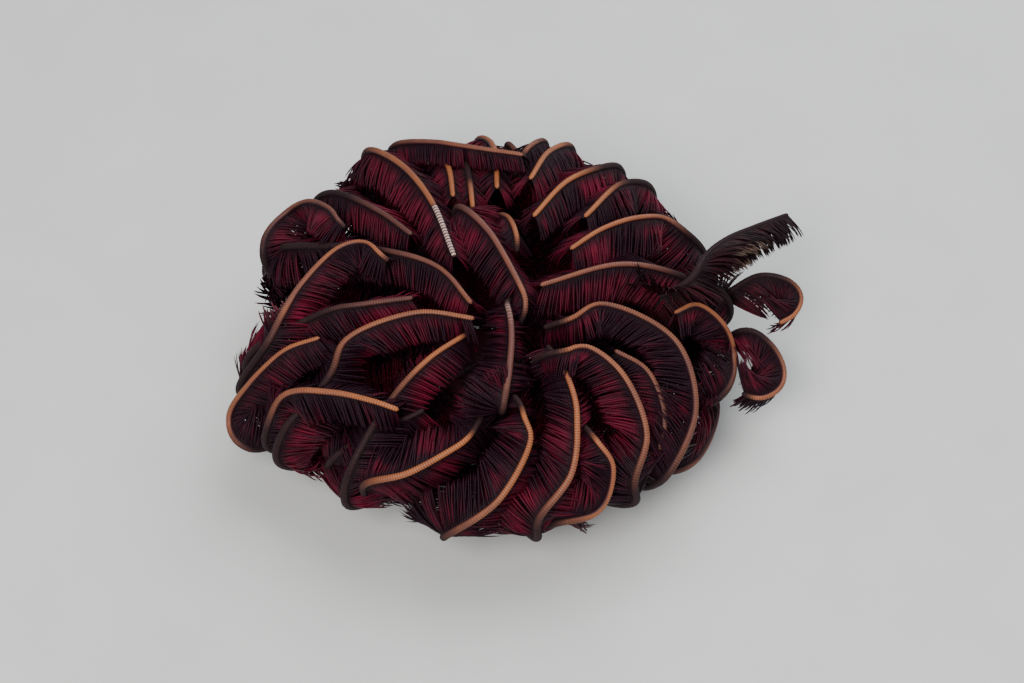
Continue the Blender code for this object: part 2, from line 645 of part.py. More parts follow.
def cirrus_line(number):
    """The run of one cirrus: out of the button, over its knee and down to the floor."""
    bearing = 2 * math.pi * (number + 0.5) / CIRRUS_COUNT
    row = number % 2
    reach = CIRRUS_REACH - ROW_STEP[0] * row
    drop = ROW_STEP[1] * row
    start = polar(CUP_RADIUS - CIRRUS_INSET, bearing, CIRRUS_ROOT - drop)
    knee = polar(reach * CIRRUS_BENDS[0], bearing + CIRRUS_SWAY[0], CIRRUS_ARCH - drop)
    ankle = polar(reach * CIRRUS_BENDS[1], bearing + CIRRUS_SWAY[1], ANKLE_HEIGHT)
    foot = polar(reach, bearing + CIRRUS_SWAY[2], 0.0)
    points = smooth_curve([start, knee, ankle, foot + [0, 0, FOOT_HEIGHT]], CIRRUS_STEP)
    return np.concatenate([points, [foot]])


def build_cup(crowd, material, workshop, model):
    """The cup's button and its cirri, which arch out and down to the floor."""
    axis, radii = turned_outline(CUP_OUTLINE, CUP_RADIUS)
    pieces = [ringed_tube(axis, radii, CUP_SIDES, material, workshop, "button")]
    crowd.add(axis, radii, "centrodorsal")
    for number in range(CIRRUS_COUNT):
        points = cirrus_line(number)
        thick = np.full(len(points), CIRRUS_RADIUS)
        pieces.append(ringed_tube(points, thick, CIRRUS_SIDES, material, workshop, "cirrus"))
        crowd.add(points, thick, "centrodorsal")
    return join("centrodorsal", pieces, material, model)


def build_disc(crowd, material, model):
    """The soft disc above the rays, a low dome."""
    axis, radii = turned_outline(DISC_OUTLINE, DISC_RADIUS)
    ringed_tube(axis, radii, DISC_SIDES, material, model, "disc")
    spots = [polar(radius, turn, DISC_SPOT_HEIGHT) for radius in DISC_SPOTS
             for turn in np.linspace(0, 2 * math.pi, DISC_SIDES, endpoint=False)]
    crowd.add(np.array(spots), np.full(len(spots), DISC_SPOT_RADIUS), "disc")


def paint(name, colour, roughness):
    material = bpy.data.materials.new(name)
    material.use_nodes = True
    shader = material.node_tree.nodes["Principled BSDF"]
    shader.inputs["Base Color"].default_value = (*colour, 1)
    shader.inputs["Roughness"].default_value = roughness
    shader.inputs["Metallic"].default_value = 0.0
    material.diffuse_color = (*colour, 1)
    return material


def main():
    for obj in list(bpy.data.objects):
        bpy.data.objects.remove(obj)
    model = bpy.data.collections.new("feather_star")
    workshop = bpy.data.collections.new("workshop")
    bpy.context.scene.collection.children.link(model)
    bpy.context.scene.collection.children.link(workshop)
    arm_skin = paint("arm_skin", RIDGE_COLOUR, 0.55)
    ray_skin = paint("ray_skin", CUP_COLOUR, 0.6)
    cup_skin = paint("cup_skin", CUP_COLOUR, 0.6)
    disc_skin = paint("disc_skin", PINNULE_COLOUR, 0.5)

    arms = lay_out_arms()
    crowd = Crowd()
    build_cup(crowd, cup_skin, workshop, model)
    build_disc(crowd, disc_skin, model)
    for arm in arms:
        cut = int(arm["cut"] / ARM_STEP)
        crowd.add(arm["path"][:cut], arm["radius"][:cut], arm["ray_node"])
        crowd.add(arm["path"][cut:], arm["radius"][cut:], arm["node"])
    for ray in range(RAY_COUNT):
        build_ray(arms, ray, crowd, ray_skin, workshop, model)
    for arm in arms:
        build_arm(arm, crowd, arm_skin, workshop, model)
    bpy.data.collections.remove(workshop)


main()
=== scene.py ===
# %% [markdown]
# # A feather star, curled up by day
#
# A feather star is a relative of the starfish: a small cup that stands on a ring of gripping
# cirri and carries five rays. Each ray forks until the animal has dozens of arms, and each arm
# is fringed on both sides with thin pinnules, which is why it looks like a bundle of feathers.
# By day it curls its arms up and over into a ball. This file dresses the plain solids of such a
# ball: first the frame they come in, then the run of every arm, then skins, fringes and finishes.

# %% Load the frame
import math
import random

import bmesh
import bpy
import numpy as np
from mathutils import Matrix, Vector
from mathutils.kdtree import KDTree


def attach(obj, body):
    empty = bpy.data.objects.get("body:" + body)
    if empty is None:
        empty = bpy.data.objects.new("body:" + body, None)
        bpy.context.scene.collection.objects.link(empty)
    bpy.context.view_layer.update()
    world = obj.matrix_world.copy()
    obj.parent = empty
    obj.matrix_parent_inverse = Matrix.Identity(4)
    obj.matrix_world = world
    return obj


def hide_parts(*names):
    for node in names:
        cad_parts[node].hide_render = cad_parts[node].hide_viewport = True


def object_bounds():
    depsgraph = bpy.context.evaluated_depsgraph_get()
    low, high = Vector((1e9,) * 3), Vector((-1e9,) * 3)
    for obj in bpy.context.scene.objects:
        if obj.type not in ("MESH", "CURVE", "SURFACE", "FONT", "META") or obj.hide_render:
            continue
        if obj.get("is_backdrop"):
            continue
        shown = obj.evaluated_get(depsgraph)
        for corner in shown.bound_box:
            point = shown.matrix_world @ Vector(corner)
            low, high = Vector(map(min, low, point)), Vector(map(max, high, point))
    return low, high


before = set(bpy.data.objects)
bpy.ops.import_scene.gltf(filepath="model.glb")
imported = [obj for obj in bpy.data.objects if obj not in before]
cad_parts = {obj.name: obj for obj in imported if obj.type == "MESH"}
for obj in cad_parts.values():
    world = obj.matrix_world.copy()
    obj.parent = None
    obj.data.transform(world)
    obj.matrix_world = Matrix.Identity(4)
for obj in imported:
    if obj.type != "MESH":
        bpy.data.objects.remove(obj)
solid_box = [list(corner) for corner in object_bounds()]
print("solids span", [round(b - a, 4) for a, b in zip(*solid_box)], "m")

# %% [markdown]
# The sizes below are the ones the solids were made from, in millimetres. Worked out once, they
# give the same run of each arm here, so a skin made from them lies exactly on its solid. The arm
# ball is a flattened globe, looked at from 52 degrees above the horizon. Each arm is given by a
# few stations, where its ridge is seen to cross the ball; between them it runs smoothly.

# %% The ball and the way it is seen
MM = 0.001
CUP_PLACE = np.array([-13.55, 1.15, 0.0])
BALL_MIDDLE = np.array([0.0, 0.0, 37.0])
BALL_HALF = np.array([84.0, 82.0, 35.0])
SIGHT_TILT = math.radians(52)
TOWARDS_EYE = np.array([0.0, -math.cos(SIGHT_TILT), math.sin(SIGHT_TILT)])
EYE_UP = np.array([0.0, math.sin(SIGHT_TILT), math.cos(SIGHT_TILT)])

# %% The arms, by what is seen of them
#        name      depth reach tuck  stations (right, above)
ARMS = [
    ("left_1",       0,   76,   4, [(-73, 53), (-68, 63), (-59, 67), (-51, 64), (-48, 60)]),
    ("left_2",       0,    0,   4, [(-69, 19), (-59, 38), (-46, 51), (-37, 53), (-33, 49)]),
    ("left_3",       5,    0,   0, [(-32, 50), (-14, 44), (-3, 32)]),
    ("left_4",       4,    0,   0, [(-50, 70), (-34, 63), (-23, 55)]),
    ("left_5",       0,    0,   0, [(-40, 85), (-27, 79), (-16, 65), (-9, 47)]),
    ("left_6",      -3,    0,   0, [(-30, 87), (-8, 85), (15, 81)]),
    ("middle_1",     0,   42,   8, [(-10, 67), (3, 55), (13, 31)]),
    ("middle_2",     0,   42,  12, [(9, -4), (10, 12), (12, 31)]),
    ("middle_3",     4,   42,   5, [(3, 64), (7, 65), (12, 54)]),
    ("back_1",       6,    0,   0, [(-15, 87), (-10, 78), (-9, 68)]),
    ("back_2",       7,    0,   0, [(-8, 84), (-5, 73), (-3, 64)]),
    ("back_3",       6,    0,   0, [(-3, 91), (3, 89), (5, 84), (5, 71)]),
    ("back_4",       5,    0,  10, [(8, 88), (14, 82)]),
    ("back_5",       3,    0,  10, [(21, 88), (15, 83)]),
    ("back_6",       0,    0,   0, [(30, 87), (22, 84), (16, 74)]),
    ("back_7",       0,    0,   0, [(38, 78), (28, 73), (17, 61)]),
    ("back_8",       0,    0,   0, [(47, 73), (34, 61)]),
    ("right_1",      0,    0,   0, [(68, 57), (62, 61), (52, 61), (40, 57), (29, 50)]),
    ("right_2",      0,    0,   0, [(63, 43), (45, 45), (19, 38)]),
    ("right_3",      0,   50,   0, [(66, 38), (74, 48), (82, 54), (91, 58), (104, 63)]),
    ("right_4",      0,    0,   0, [(84, 37), (94, 42), (104, 40), (108, 35), (105, 29), (99, 26)]),
    ("right_5",      0,    0,   0, [(88, 24), (96, 19), (100, 10), (98, 4), (91, 1), (85, 4)]),
    ("right_6",      0,    0,   0, [(80, 4), (84, 14), (80, 25), (71, 32), (63, 29)]),
    ("right_7",      0,    0,  10, [(59, -22), (69, -2), (63, 20), (39, 32), (29, 27)]),
    ("right_8",      0,    0,  12, [(49, -25), (53, -10), (45, 10), (33, 19), (28, 16)]),
    ("right_9",      4,    0,   0, [(55, -25), (60, -8), (54, 10), (43, 17)]),
    ("right_10",     4,    0,   0, [(58, -25), (71, -18), (78, -3), (74, 10)]),
    ("front_1",      0,    0,  14, [(18, -37), (29, -22), (31, -3), (27, 9)]),
    ("front_2",      0,    0,  12, [(24, -38), (38, -35), (42, -20), (37, -12)]),
    ("front_3",      0,    0,  14, [(-11, -42), (6, -30), (15, -11), (12, -4)]),
    ("front_4",      0,   76,  12, [(-39, -25), (-24, -22), (-10, -15), (-4, -11)]),
    ("front_5",      3,    0,   8, [(-28, 2), (-17, 14), (-7, 21)]),
    ("front_6",      0,    0,   0, [(-49, 10), (-44, 20), (-21, 29), (-2, 27)]),
    ("front_7",      4,    0,   0, [(-50, 30), (-38, 32), (-22, 34)]),
    ("front_8",      0,    0,   0, [(-78, -16), (-84, -6), (-76, 6), (-64, 17), (-52, 21)]),
    ("front_9",      0,    0,   0, [(-67, -8), (-62, 1), (-47, 3), (-26, -2)]),
    ("front_10",     8,    0,   0, [(-50, -20), (-35, -9), (-18, -2)]),
]
print(len(ARMS), "arms")

# %% Sizes of the rays and arms
RAY_COUNT = 5
RAY_HEIGHT = 14.0
FORK_RADII = (3.4, 9.0, 14.5, 20.0)
FORK_THICKNESS = (2.1, 2.1, 1.8)
ROOT_RADIUS = 27.0
LOW_KNOTS = ((46.0, 13.5, 0.4), (68.0, 20.0, 0.8))
FLANK_LATITUDES = (-8, 17, 42)
LATITUDE_ROOM = 15
LOW_ROOM = 5.0
ARM_RADIUS = 1.45
TIP_RADIUS = 0.85
TAPER = 1.6
ARM_STEP = 2.0
ARM_SPACING = (3.5, 6.2)
SPACING_RUN = (8.0, 34.0)
SPREAD_ROUNDS = 80
KINK_ALLOWED = 0.03
BEND_PULL = 14.0
GROOVE_PULL = 0.22

# %% The arms that curl by themselves
# where the curl starts along the arm, its middle (right, above), and how far the groove
# faces away from the eye there and at the tip
CURLED = {
    "left_1": (62.0, -60.0, 52.0, 0.35, 0.4),
    "right_3": (72.0, 100.0, 30.0, -0.25, -0.25),
    "right_4": (60.0, 95.0, 33.0, 0.1, 0.5),
    "right_5": (62.0, 89.0, 13.0, 0.2, 0.6),
    "right_6": (70.0, 69.0, 14.0, 0.4, 0.4),
    "front_8": (62.0, -66.0, -4.0, 0.4, 0.4),
}
CURLED_TURN = 14.0
CURLED_PULL = 0.7
LEVELLED = ("right_3",)
LOWEST_ARM = 9.0
TUCK_ONWARD = 0.7
CURVE_STEPS = 24
HOLD_RUN = 12.0
PUSH_SHARE = 0.3
LIFT_SHARE = 0.5
EASE_SHARE = 0.5

# %% [markdown]
# An arm starts at a fork of its ray, runs out under the ball, climbs the flank and then follows
# its stations. A spline that spaces its knots by the square root of their distance gives a run
# without loops, even where the stations lie unevenly. Where two arms would come closer than they
# are thick, both give way a little, as the living ones do.


# %% Curve helpers
def unit(v):
    return v / max(np.linalg.norm(v), 1e-9)


def polar(radius, bearing, height):
    return np.array([radius * math.cos(bearing), radius * math.sin(bearing), height])


def turn_between(a, b):
    return (b - a + math.pi) % (2 * math.pi) - math.pi


def seen_on_ball(right, above, depth):
    start = np.array([right, 0.0, 0.0]) + above * EYE_UP
    run = TOWARDS_EYE / BALL_HALF
    offset = (start - BALL_MIDDLE) / BALL_HALF
    a, b, c = run @ run, 2 * run @ offset, offset @ offset - 1
    along = (-b + math.sqrt(max(b * b - 4 * a * c, 0))) / (2 * a)
    return start + (along - depth) * TOWARDS_EYE


def resample(points, count):
    run = np.concatenate([[0], np.cumsum(np.linalg.norm(np.diff(points, axis=0), axis=1))])
    places = np.linspace(0, run[-1], count)
    return np.stack([np.interp(places, run, points[:, k]) for k in range(3)], axis=1)


def smooth_curve(knots, step):
    knots = [np.asarray(k, float) for k in knots]
    ends = [2 * knots[0] - knots[1]] + knots + [2 * knots[-1] - knots[-2]]
    fine = []
    for p0, p1, p2, p3 in zip(ends, ends[1:], ends[2:], ends[3:]):
        t1 = np.linalg.norm(p1 - p0) ** 0.5
        t2 = t1 + np.linalg.norm(p2 - p1) ** 0.5
        t3 = t2 + np.linalg.norm(p3 - p2) ** 0.5
        for t in np.linspace(t1, t2, CURVE_STEPS, endpoint=False):
            a1 = (t1 - t) / t1 * p0 + t / t1 * p1
            a2 = (t2 - t) / (t2 - t1) * p1 + (t - t1) / (t2 - t1) * p2
            a3 = (t3 - t) / (t3 - t2) * p2 + (t - t2) / (t3 - t2) * p3
            b1 = (t2 - t) / t2 * a1 + t / t2 * a2
            b2 = (t3 - t) / (t3 - t1) * a2 + (t - t1) / (t3 - t1) * a3
            fine.append((t2 - t) / (t2 - t1) * b1 + (t - t1) / (t2 - t1) * b2)
    fine = np.array(fine + [knots[-1]])
    length = np.linalg.norm(np.diff(fine, axis=0), axis=1).sum()
    return resample(fine, max(4, round(length / step)) + 1)


# %% The run of one arm
def arm_knots(name, fork_bearing, root_bearing, depth, reach, tuck, stations):
    seen = [seen_on_ball(right, above, depth) for right, above in stations]
    if name in LEVELLED:
        near = np.array([s @ TOWARDS_EYE for s in seen])
        level = np.linspace(near[0], near[-1], len(seen))
        seen = [s + (a - b) * TOWARDS_EYE for s, a, b in zip(seen, level, near)]
    first = seen[0]
    scaled = (first - BALL_MIDDLE) / BALL_HALF
    bearing = math.atan2(first[1], first[0])
    latitude = math.degrees(math.atan2(scaled[2], math.hypot(scaled[0], scaled[1])))
    turn = turn_between(root_bearing, bearing)
    girth = (reach or BALL_HALF[0] - max(depth, 0)) / BALL_HALF[0]
    knots = [polar(FORK_RADII[-1], fork_bearing, RAY_HEIGHT),
             polar(ROOT_RADIUS, root_bearing, RAY_HEIGHT)]
    for radius, height, share in LOW_KNOTS:
        if radius * girth > ROOT_RADIUS + LOW_ROOM:
            knots.append(polar(radius * girth, root_bearing + share * turn, height))
    for flank in FLANK_LATITUDES:
        if flank < latitude - LATITUDE_ROOM:
            lie = math.radians(flank)
            side = BALL_HALF[:2] * girth * math.cos(lie)
            high = BALL_MIDDLE[2] + (BALL_HALF[2] - max(depth, 0)) * math.sin(lie)
            knots.append(np.array([side[0] * math.cos(bearing), side[1] * math.sin(bearing), high]))
    knots += seen
    if tuck:
        onward = unit(unit(seen[-1] - seen[-2]) * TUCK_ONWARD + unit(BALL_MIDDLE - seen[-1]))
        knots.append(seen[-1] + onward * tuck)
    return knots


# %% Making room between the arms
def crowding(flat, owner, room):
    """How each point is pushed off the other arms and up from the floor."""
    tree = KDTree(len(flat))
    for i, p in enumerate(flat):
        tree.insert(p, i)
    tree.balance()
    push = np.zeros_like(flat)
    for i, p in enumerate(flat):
        for q, j, far in tree.find_range(p, room[i]):
            need = min(room[i], room[j]) - far
            if owner[j] != owner[i] and need > 0:
                push[i] += (p - np.array(q)) / max(far, 0.01) * need * PUSH_SHARE
    push[:, 2] += np.clip(LOWEST_ARM - flat[:, 2], 0, None) * LIFT_SHARE
    return push


def spread_apart(paths):
    starts = np.cumsum([0] + [len(p) for p in paths])
    owner = np.repeat(np.arange(len(paths)), [len(p) for p in paths])
    run = np.concatenate([np.arange(len(p)) * ARM_STEP for p in paths])
    room = np.interp(run, SPACING_RUN, ARM_SPACING)
    hold = np.clip((run - SPACING_RUN[0]) / HOLD_RUN, 0, 1)[:, None]
    home = np.concatenate(paths)
    flat = home.copy()
    for _ in range(SPREAD_ROUNDS):
        shift = flat + crowding(flat, owner, room) * hold - home
        for a, b in zip(starts, starts[1:]):
            s = shift[a:b]
            s[1:-1] = 0.5 * s[1:-1] + 0.25 * (s[:-2] + s[2:])
        flat = home + shift
        for a, b in zip(starts, starts[1:]):
            p = flat[a:b]
            way = np.diff(p, axis=0)
            way /= np.linalg.norm(way, axis=1)[:, None]
            kink = 1 - (way[1:] * way[:-1]).sum(1)
            ease = np.clip((kink - KINK_ALLOWED) / KINK_ALLOWED, 0, 1)[:, None] * hold[a + 1:b - 1]
            p[1:-1] += ease * EASE_SHARE * ((p[:-2] + p[2:]) / 2 - p[1:-1])
    return [flat[a:b] for a, b in zip(starts, starts[1:])]


# %% [markdown]
# Every arm has a grooved side, where the pinnules stand in two rows, and a smooth ridge on its
# back. In a curled animal the groove faces into the curl. The groove's direction is carried along
# the arm from point to point and only turned gently towards where it should face, so a fringe
# made from it never twists over. Six arms curl in the open or lie flung out beside the ball; their
# grooves turn into their own curl instead of the ball's.


# %% Which way the groove faces
def curled_groove(name, path, wanted):
    start, right, above, near_away, far_away = CURLED[name]
    middle = np.array([right, 0, 0]) + above * EYE_UP
    seen = path - (path @ TOWARDS_EYE)[:, None] * TOWARDS_EYE
    into = middle - seen
    into /= np.maximum(np.linalg.norm(into, axis=1), 1)[:, None]
    run = np.arange(len(path)) * ARM_STEP
    away = np.interp(run, (start, run[-1]), (near_away, far_away))[:, None]
    share = np.clip((run - start) / CURLED_TURN, 0, 1)[:, None]
    wanted = wanted * (1 - share) + (into * (1 - abs(away)) - away * TOWARDS_EYE) * share
    return wanted, GROOVE_PULL + (CURLED_PULL - GROOVE_PULL) * share[:, 0]


def arm_frames(name, path):
    tangent = np.gradient(path, axis=0)
    tangent /= np.linalg.norm(tangent, axis=1)[:, None]
    bend = np.gradient(tangent, axis=0) / ARM_STEP
    inward = (BALL_MIDDLE - path) / BALL_HALF ** 2
    inward /= np.linalg.norm(inward, axis=1)[:, None]
    wanted = inward + bend * BEND_PULL
    pull = np.full(len(path), GROOVE_PULL)
    if name in CURLED:
        wanted, pull = curled_groove(name, path, wanted)
    groove = wanted.copy()
    for i in range(len(path)):
        if i:
            groove[i] = groove[i - 1] * (1 - pull[i]) + unit(wanted[i]) * pull[i]
        groove[i] = unit(groove[i] - tangent[i] * (groove[i] @ tangent[i]))
    return tangent, groove


def arm_radius(share):
    return TIP_RADIUS + (ARM_RADIUS - TIP_RADIUS) * (1 - share ** TAPER)


# %% How the rays share out the arms
def fork_groups(arms, ray):
    levels = [[sorted(arm["root"] for arm in arms if arm["ray"] == ray)]]
    while len(levels) < len(FORK_THICKNESS):
        split = []
        for group in levels[-1]:
            half = (len(group) + 1) // 2
            split += [group[:half], group[half:]]
        levels.append(split)
    return levels


def lay_out_arms():
    rows = []
    for name, depth, reach, tuck, stations in ARMS:
        first = seen_on_ball(*stations[0], depth)
        bearing = math.atan2(first[1], first[0]) % (2 * math.pi)
        rows.append((bearing, name, depth, reach, tuck, stations))
    rows.sort(key=lambda row: row[0])
    turns = [i * 2 * math.pi / len(rows) for i in range(len(rows))]
    skew = math.atan2(sum(math.sin(r[0] - t) for r, t in zip(rows, turns)),
                      sum(math.cos(r[0] - t) for r, t in zip(rows, turns)))
    arms = [{"name": row[1], "ray": i * RAY_COUNT // len(rows), "root": turn + skew}
            for i, (row, turn) in enumerate(zip(rows, turns))]
    for ray in range(RAY_COUNT):
        for group in fork_groups(arms, ray)[-1]:
            for arm in arms:
                if arm["root"] in group:
                    arm["fork"] = sum(group) / len(group)
    for arm, row in zip(arms, rows):
        knots = arm_knots(arm["name"], arm["fork"], arm["root"], *row[2:])
        arm["path"] = smooth_curve(knots, ARM_STEP)
        arm["seen"] = [seen_on_ball(right, above, row[2]) for right, above in row[5]]
    for arm, path in zip(arms, spread_apart([a["path"] for a in arms])):
        arm["path"] = path
        arm["tangent"], arm["groove"] = arm_frames(arm["name"], path)
        arm["radius"] = np.array([arm_radius(s) for s in np.linspace(0, 1, len(path))])
        arm["length"] = (len(path) - 1) * ARM_STEP
    return arms


arms = lay_out_arms()
print("arms run", round(min(a["length"] for a in arms)), "to", round(max(a["length"] for a in arms)), "mm")

# %% [markdown]
# The camera stands where the animal was seen from: straight in front and 52 degrees up. A long
# lens from over a metre away keeps near and far arms at nearly one scale, as the stations assume.
# The picture is 1024 by 683 pixels, and three pixels show a millimetre.

# %% The camera
PICTURE = (1024, 683)
PIXELS_PER_MM = 3.0
CUP_PIXEL = (482, 401)
LENS = 120.0
SENSOR = 36.0

aim_right = (PICTURE[0] / 2 - CUP_PIXEL[0]) / PIXELS_PER_MM
aim_above = (CUP_PIXEL[1] - PICTURE[1] / 2) / PIXELS_PER_MM
middle_depth = BALL_MIDDLE @ TOWARDS_EYE
aim = CUP_PLACE + np.array([aim_right, 0, 0]) + aim_above * EYE_UP + middle_depth * TOWARDS_EYE
distance = PICTURE[0] / PIXELS_PER_MM * LENS / SENSOR
camera = bpy.data.objects.new("camera", bpy.data.cameras.new("camera"))
bpy.context.scene.collection.objects.link(camera)
camera.data.lens = LENS
camera.data.sensor_width = SENSOR
camera.location = Vector((aim + distance * TOWARDS_EYE) * MM)
camera.rotation_euler = (math.pi / 2 - SIGHT_TILT, 0, 0)
camera.data.clip_start = 0.01
camera.data.clip_end = 20
bpy.context.scene.camera = camera
print("camera", round(distance), "mm away")

# %% [markdown]
# Shader maths reads best as plain sums. This class wraps one output socket, so that `a * 0.5 + b`
# adds the Math nodes by itself, in either order. Colours are mixed by `blend`, since a Math node
# would turn them grey. Every other node comes from the one method `node`.


# %% A socket that can do sums
class Sum:
    def __init__(self, tree, socket):
        self.tree, self.socket = tree, socket

    def node(self, kind, settings=None, **values):
        made = self.tree.nodes.new("ShaderNode" + kind)
        for key, value in (settings or {}).items():
            if key == "ramp":
                while len(made.color_ramp.elements) < len(value):
                    made.color_ramp.elements.new(0.5)
                for stop, (place, colour) in zip(made.color_ramp.elements, value):
                    stop.position, stop.color = place, (*colour, 1)
            else:
                setattr(made, key, value)
        for key, value in values.items():
            name = int(key[1:]) if key[0] == "_" else key.replace("_", " ").title()
            socket = made.inputs[name]
            if isinstance(value, Sum):
                self.tree.links.new(value.socket, socket)
            elif isinstance(value, tuple) and len(value) == 3 and socket.type == "RGBA":
                socket.default_value = (*value, 1)
            else:
                socket.default_value = value
        return made

    def out(self, kind, output, settings=None, **values):
        return Sum(self.tree, self.node(kind, settings, **values).outputs[output])

    def maths(self, operation, *values, clamp=False):
        slots = {"_%d" % i: v for i, v in enumerate(values)}
        return self.out("Math", 0, {"operation": operation, "use_clamp": clamp}, **slots)

    def __add__(self, other):
        return self.maths("ADD", self, other)

    def __radd__(self, other):
        return self.maths("ADD", other, self)

    def __sub__(self, other):
        return self.maths("SUBTRACT", self, other)

    def __rsub__(self, other):
        return self.maths("SUBTRACT", other, self)

    def __mul__(self, other):
        return self.maths("MULTIPLY", self, other)

    def __rmul__(self, other):
        return self.maths("MULTIPLY", other, self)

    def __truediv__(self, other):
        return self.maths("DIVIDE", self, other)

    def __rtruediv__(self, other):
        return self.maths("DIVIDE", other, self)

    def __pow__(self, other):
        return self.maths("POWER", self, other)

    def between(self, low, high):
        return self.out("MapRange", 0, {"interpolation_type": "SMOOTHSTEP"}, Value=self,
                        From_Min=low, From_Max=high, To_Min=0.0, To_Max=1.0)

    def blend(self, first, second):
        return self.out("Mix", 2, {"data_type": "RGBA"}, _0=self, _6=first, _7=second)


# %% Starting a material
COAT_ROUGHNESS = 0.25


def start_material(name, roughness, coat=0.0):
    material = bpy.data.materials.new(name)
    material.use_nodes = True
    tree = material.node_tree
    shader = tree.nodes["Principled BSDF"]
    shader.inputs["Roughness"].default_value = roughness
    shader.inputs["Coat Weight"].default_value = coat
    shader.inputs["Coat Roughness"].default_value = COAT_ROUGHNESS
    start = Sum(tree, None)
    place = start.out("TexCoord", 3)
    return material, shader, start, place


def feed(shader, name, value):
    value.tree.links.new(value.socket, shader.inputs[name])


# %% [markdown]
# The ridge of an arm is a stack of thin discs, the brachials, under 1 mm each. They show as fine
# beads, orange-brown on the animal's back and wine-red on its flanks, duller and lilac where the
# skin is worn. The finish reads the arm's own map: how many discs along, and how far round. A
# second map says how orange the arm is there, and how much painted shade darkens it; below nought
# the orange number means the skin is rubbed pale, in bands, as one arm's end is.

# %% The ridge's colours
WINE = (0.030, 0.0035, 0.008)
LILAC_BROWN = (0.155, 0.054, 0.042)
ORANGE_BROWN = (0.41, 0.125, 0.036)
WORN_LILAC = (0.33, 0.20, 0.19)
BAND_GAP = (0.10, 0.030, 0.026)
RUBBED_PALE = (0.58, 0.44, 0.39)
DISC_GAP = (0.045, 0.014, 0.014)
# painted shade: the near-black that a ridge is painted where the Tint map says it lies in shade
RIDGE_PAINTED_SHADE = (0.012, 0.0022, 0.0045)
BANDS_PER_DISC = 0.65
GAP_DEPTH = 0.42


# %% The ridge's finish
def paint_ridge():
    material, shader, start, place = start_material("beaded_ridge", 0.45, 0.04)
    shader.inputs["Specular IOR Level"].default_value = 0.32
    arm_map = start.out("UVMap", 0, {"uv_map": "Arm"})
    along = start.out("SeparateXYZ", 0, Vector=arm_map)
    around = start.out("SeparateXYZ", 1, Vector=arm_map)
    tint_map = start.out("UVMap", 0, {"uv_map": "Tint"})
    orange = start.out("SeparateXYZ", 0, Vector=tint_map)
    shade = start.out("SeparateXYZ", 1, Vector=tint_map)
    wave = start.maths("COSINE", along * (2 * math.pi))
    bead = (wave * 0.5 + 0.5).between(0.15, 0.8)
    patches = start.out("TexNoise", 0, Vector=place, Scale=90.0, Detail=4.0, Roughness=0.6)
    grain = start.out("TexNoise", 0, Vector=place, Scale=900.0, Detail=3.0)
    back = start.maths("ABSOLUTE", around - 0.5)
    back_mask = 1 - back.between(0.15, 0.27)
    tan = (orange + (patches - 0.5) * 0.9).between(0.1, 0.95)
    skin = tan.blend(LILAC_BROWN, ORANGE_BROWN)
    worn = (patches * 0.6 + grain * 0.4).between(0.56, 0.72) * (1 - orange)
    skin = (worn * 0.5).blend(skin, WORN_LILAC)
    rubbed = (0 - orange + (patches - 0.5) * 0.5).between(0.15, 0.75)
    bands = start.maths("COSINE", along * (BANDS_PER_DISC * 2 * math.pi))
    banded = (bands * 0.5 + 0.5).between(0.2, 0.7).blend(BAND_GAP, RUBBED_PALE)
    skin = rubbed.blend(skin, banded)
    gap = GAP_DEPTH * (1 - rubbed)
    skin = (1 - gap + bead * gap).blend(DISC_GAP, skin)
    skin = back_mask.blend(WINE, skin)
    # painted shade: the ridge is blended towards near-black by the Tint map's shade number
    skin = (shade * 0.93 + grain * 0.1).blend(skin, RIDGE_PAINTED_SHADE)
    feed(shader, "Base Color", skin)
    feed(shader, "Roughness", 0.34 + grain * 0.2 + (1 - bead) * 0.2 + shade * 0.35)
    height = bead * 0.5 + grain * 0.35
    bump = start.node("Bump", Strength=0.35, Distance=0.0002, Height=height)
    shader.id_data.links.new(bump.outputs[0], shader.inputs["Normal"])
    return material


ridge = paint_ridge()
print("ridge finish", len(ridge.node_tree.nodes), "nodes")

# %% [markdown]
# A pinnule is a thin jointed thread of flesh. Together they make a dark wine curtain, its colour
# deepened as painted shade, with patches of painted light in crimson. The colour runs from nearly
# black at the root through crimson to a darker tip, and the map carries a second number that is different
# for each pinnule.

# %% The fringe's finish
# the pinnules' dark wine deepened as painted shade, and crimson patches of painted light
FRINGE_WINE_AND_PAINTED_SHADE = (0.0125, 0.0022, 0.0070)
FRINGE_PAINTED_LIGHT = (0.115, 0.0038, 0.0185)
FRINGE_ROOT = (0.009, 0.002, 0.005)
FRINGE_TIP = (0.05, 0.009, 0.022)
FRINGE_BROWN = (0.010, 0.0035, 0.0050)
FRINGE_PALE = (0.30, 0.21, 0.15)
PINNULE_JOINTS = 75.0


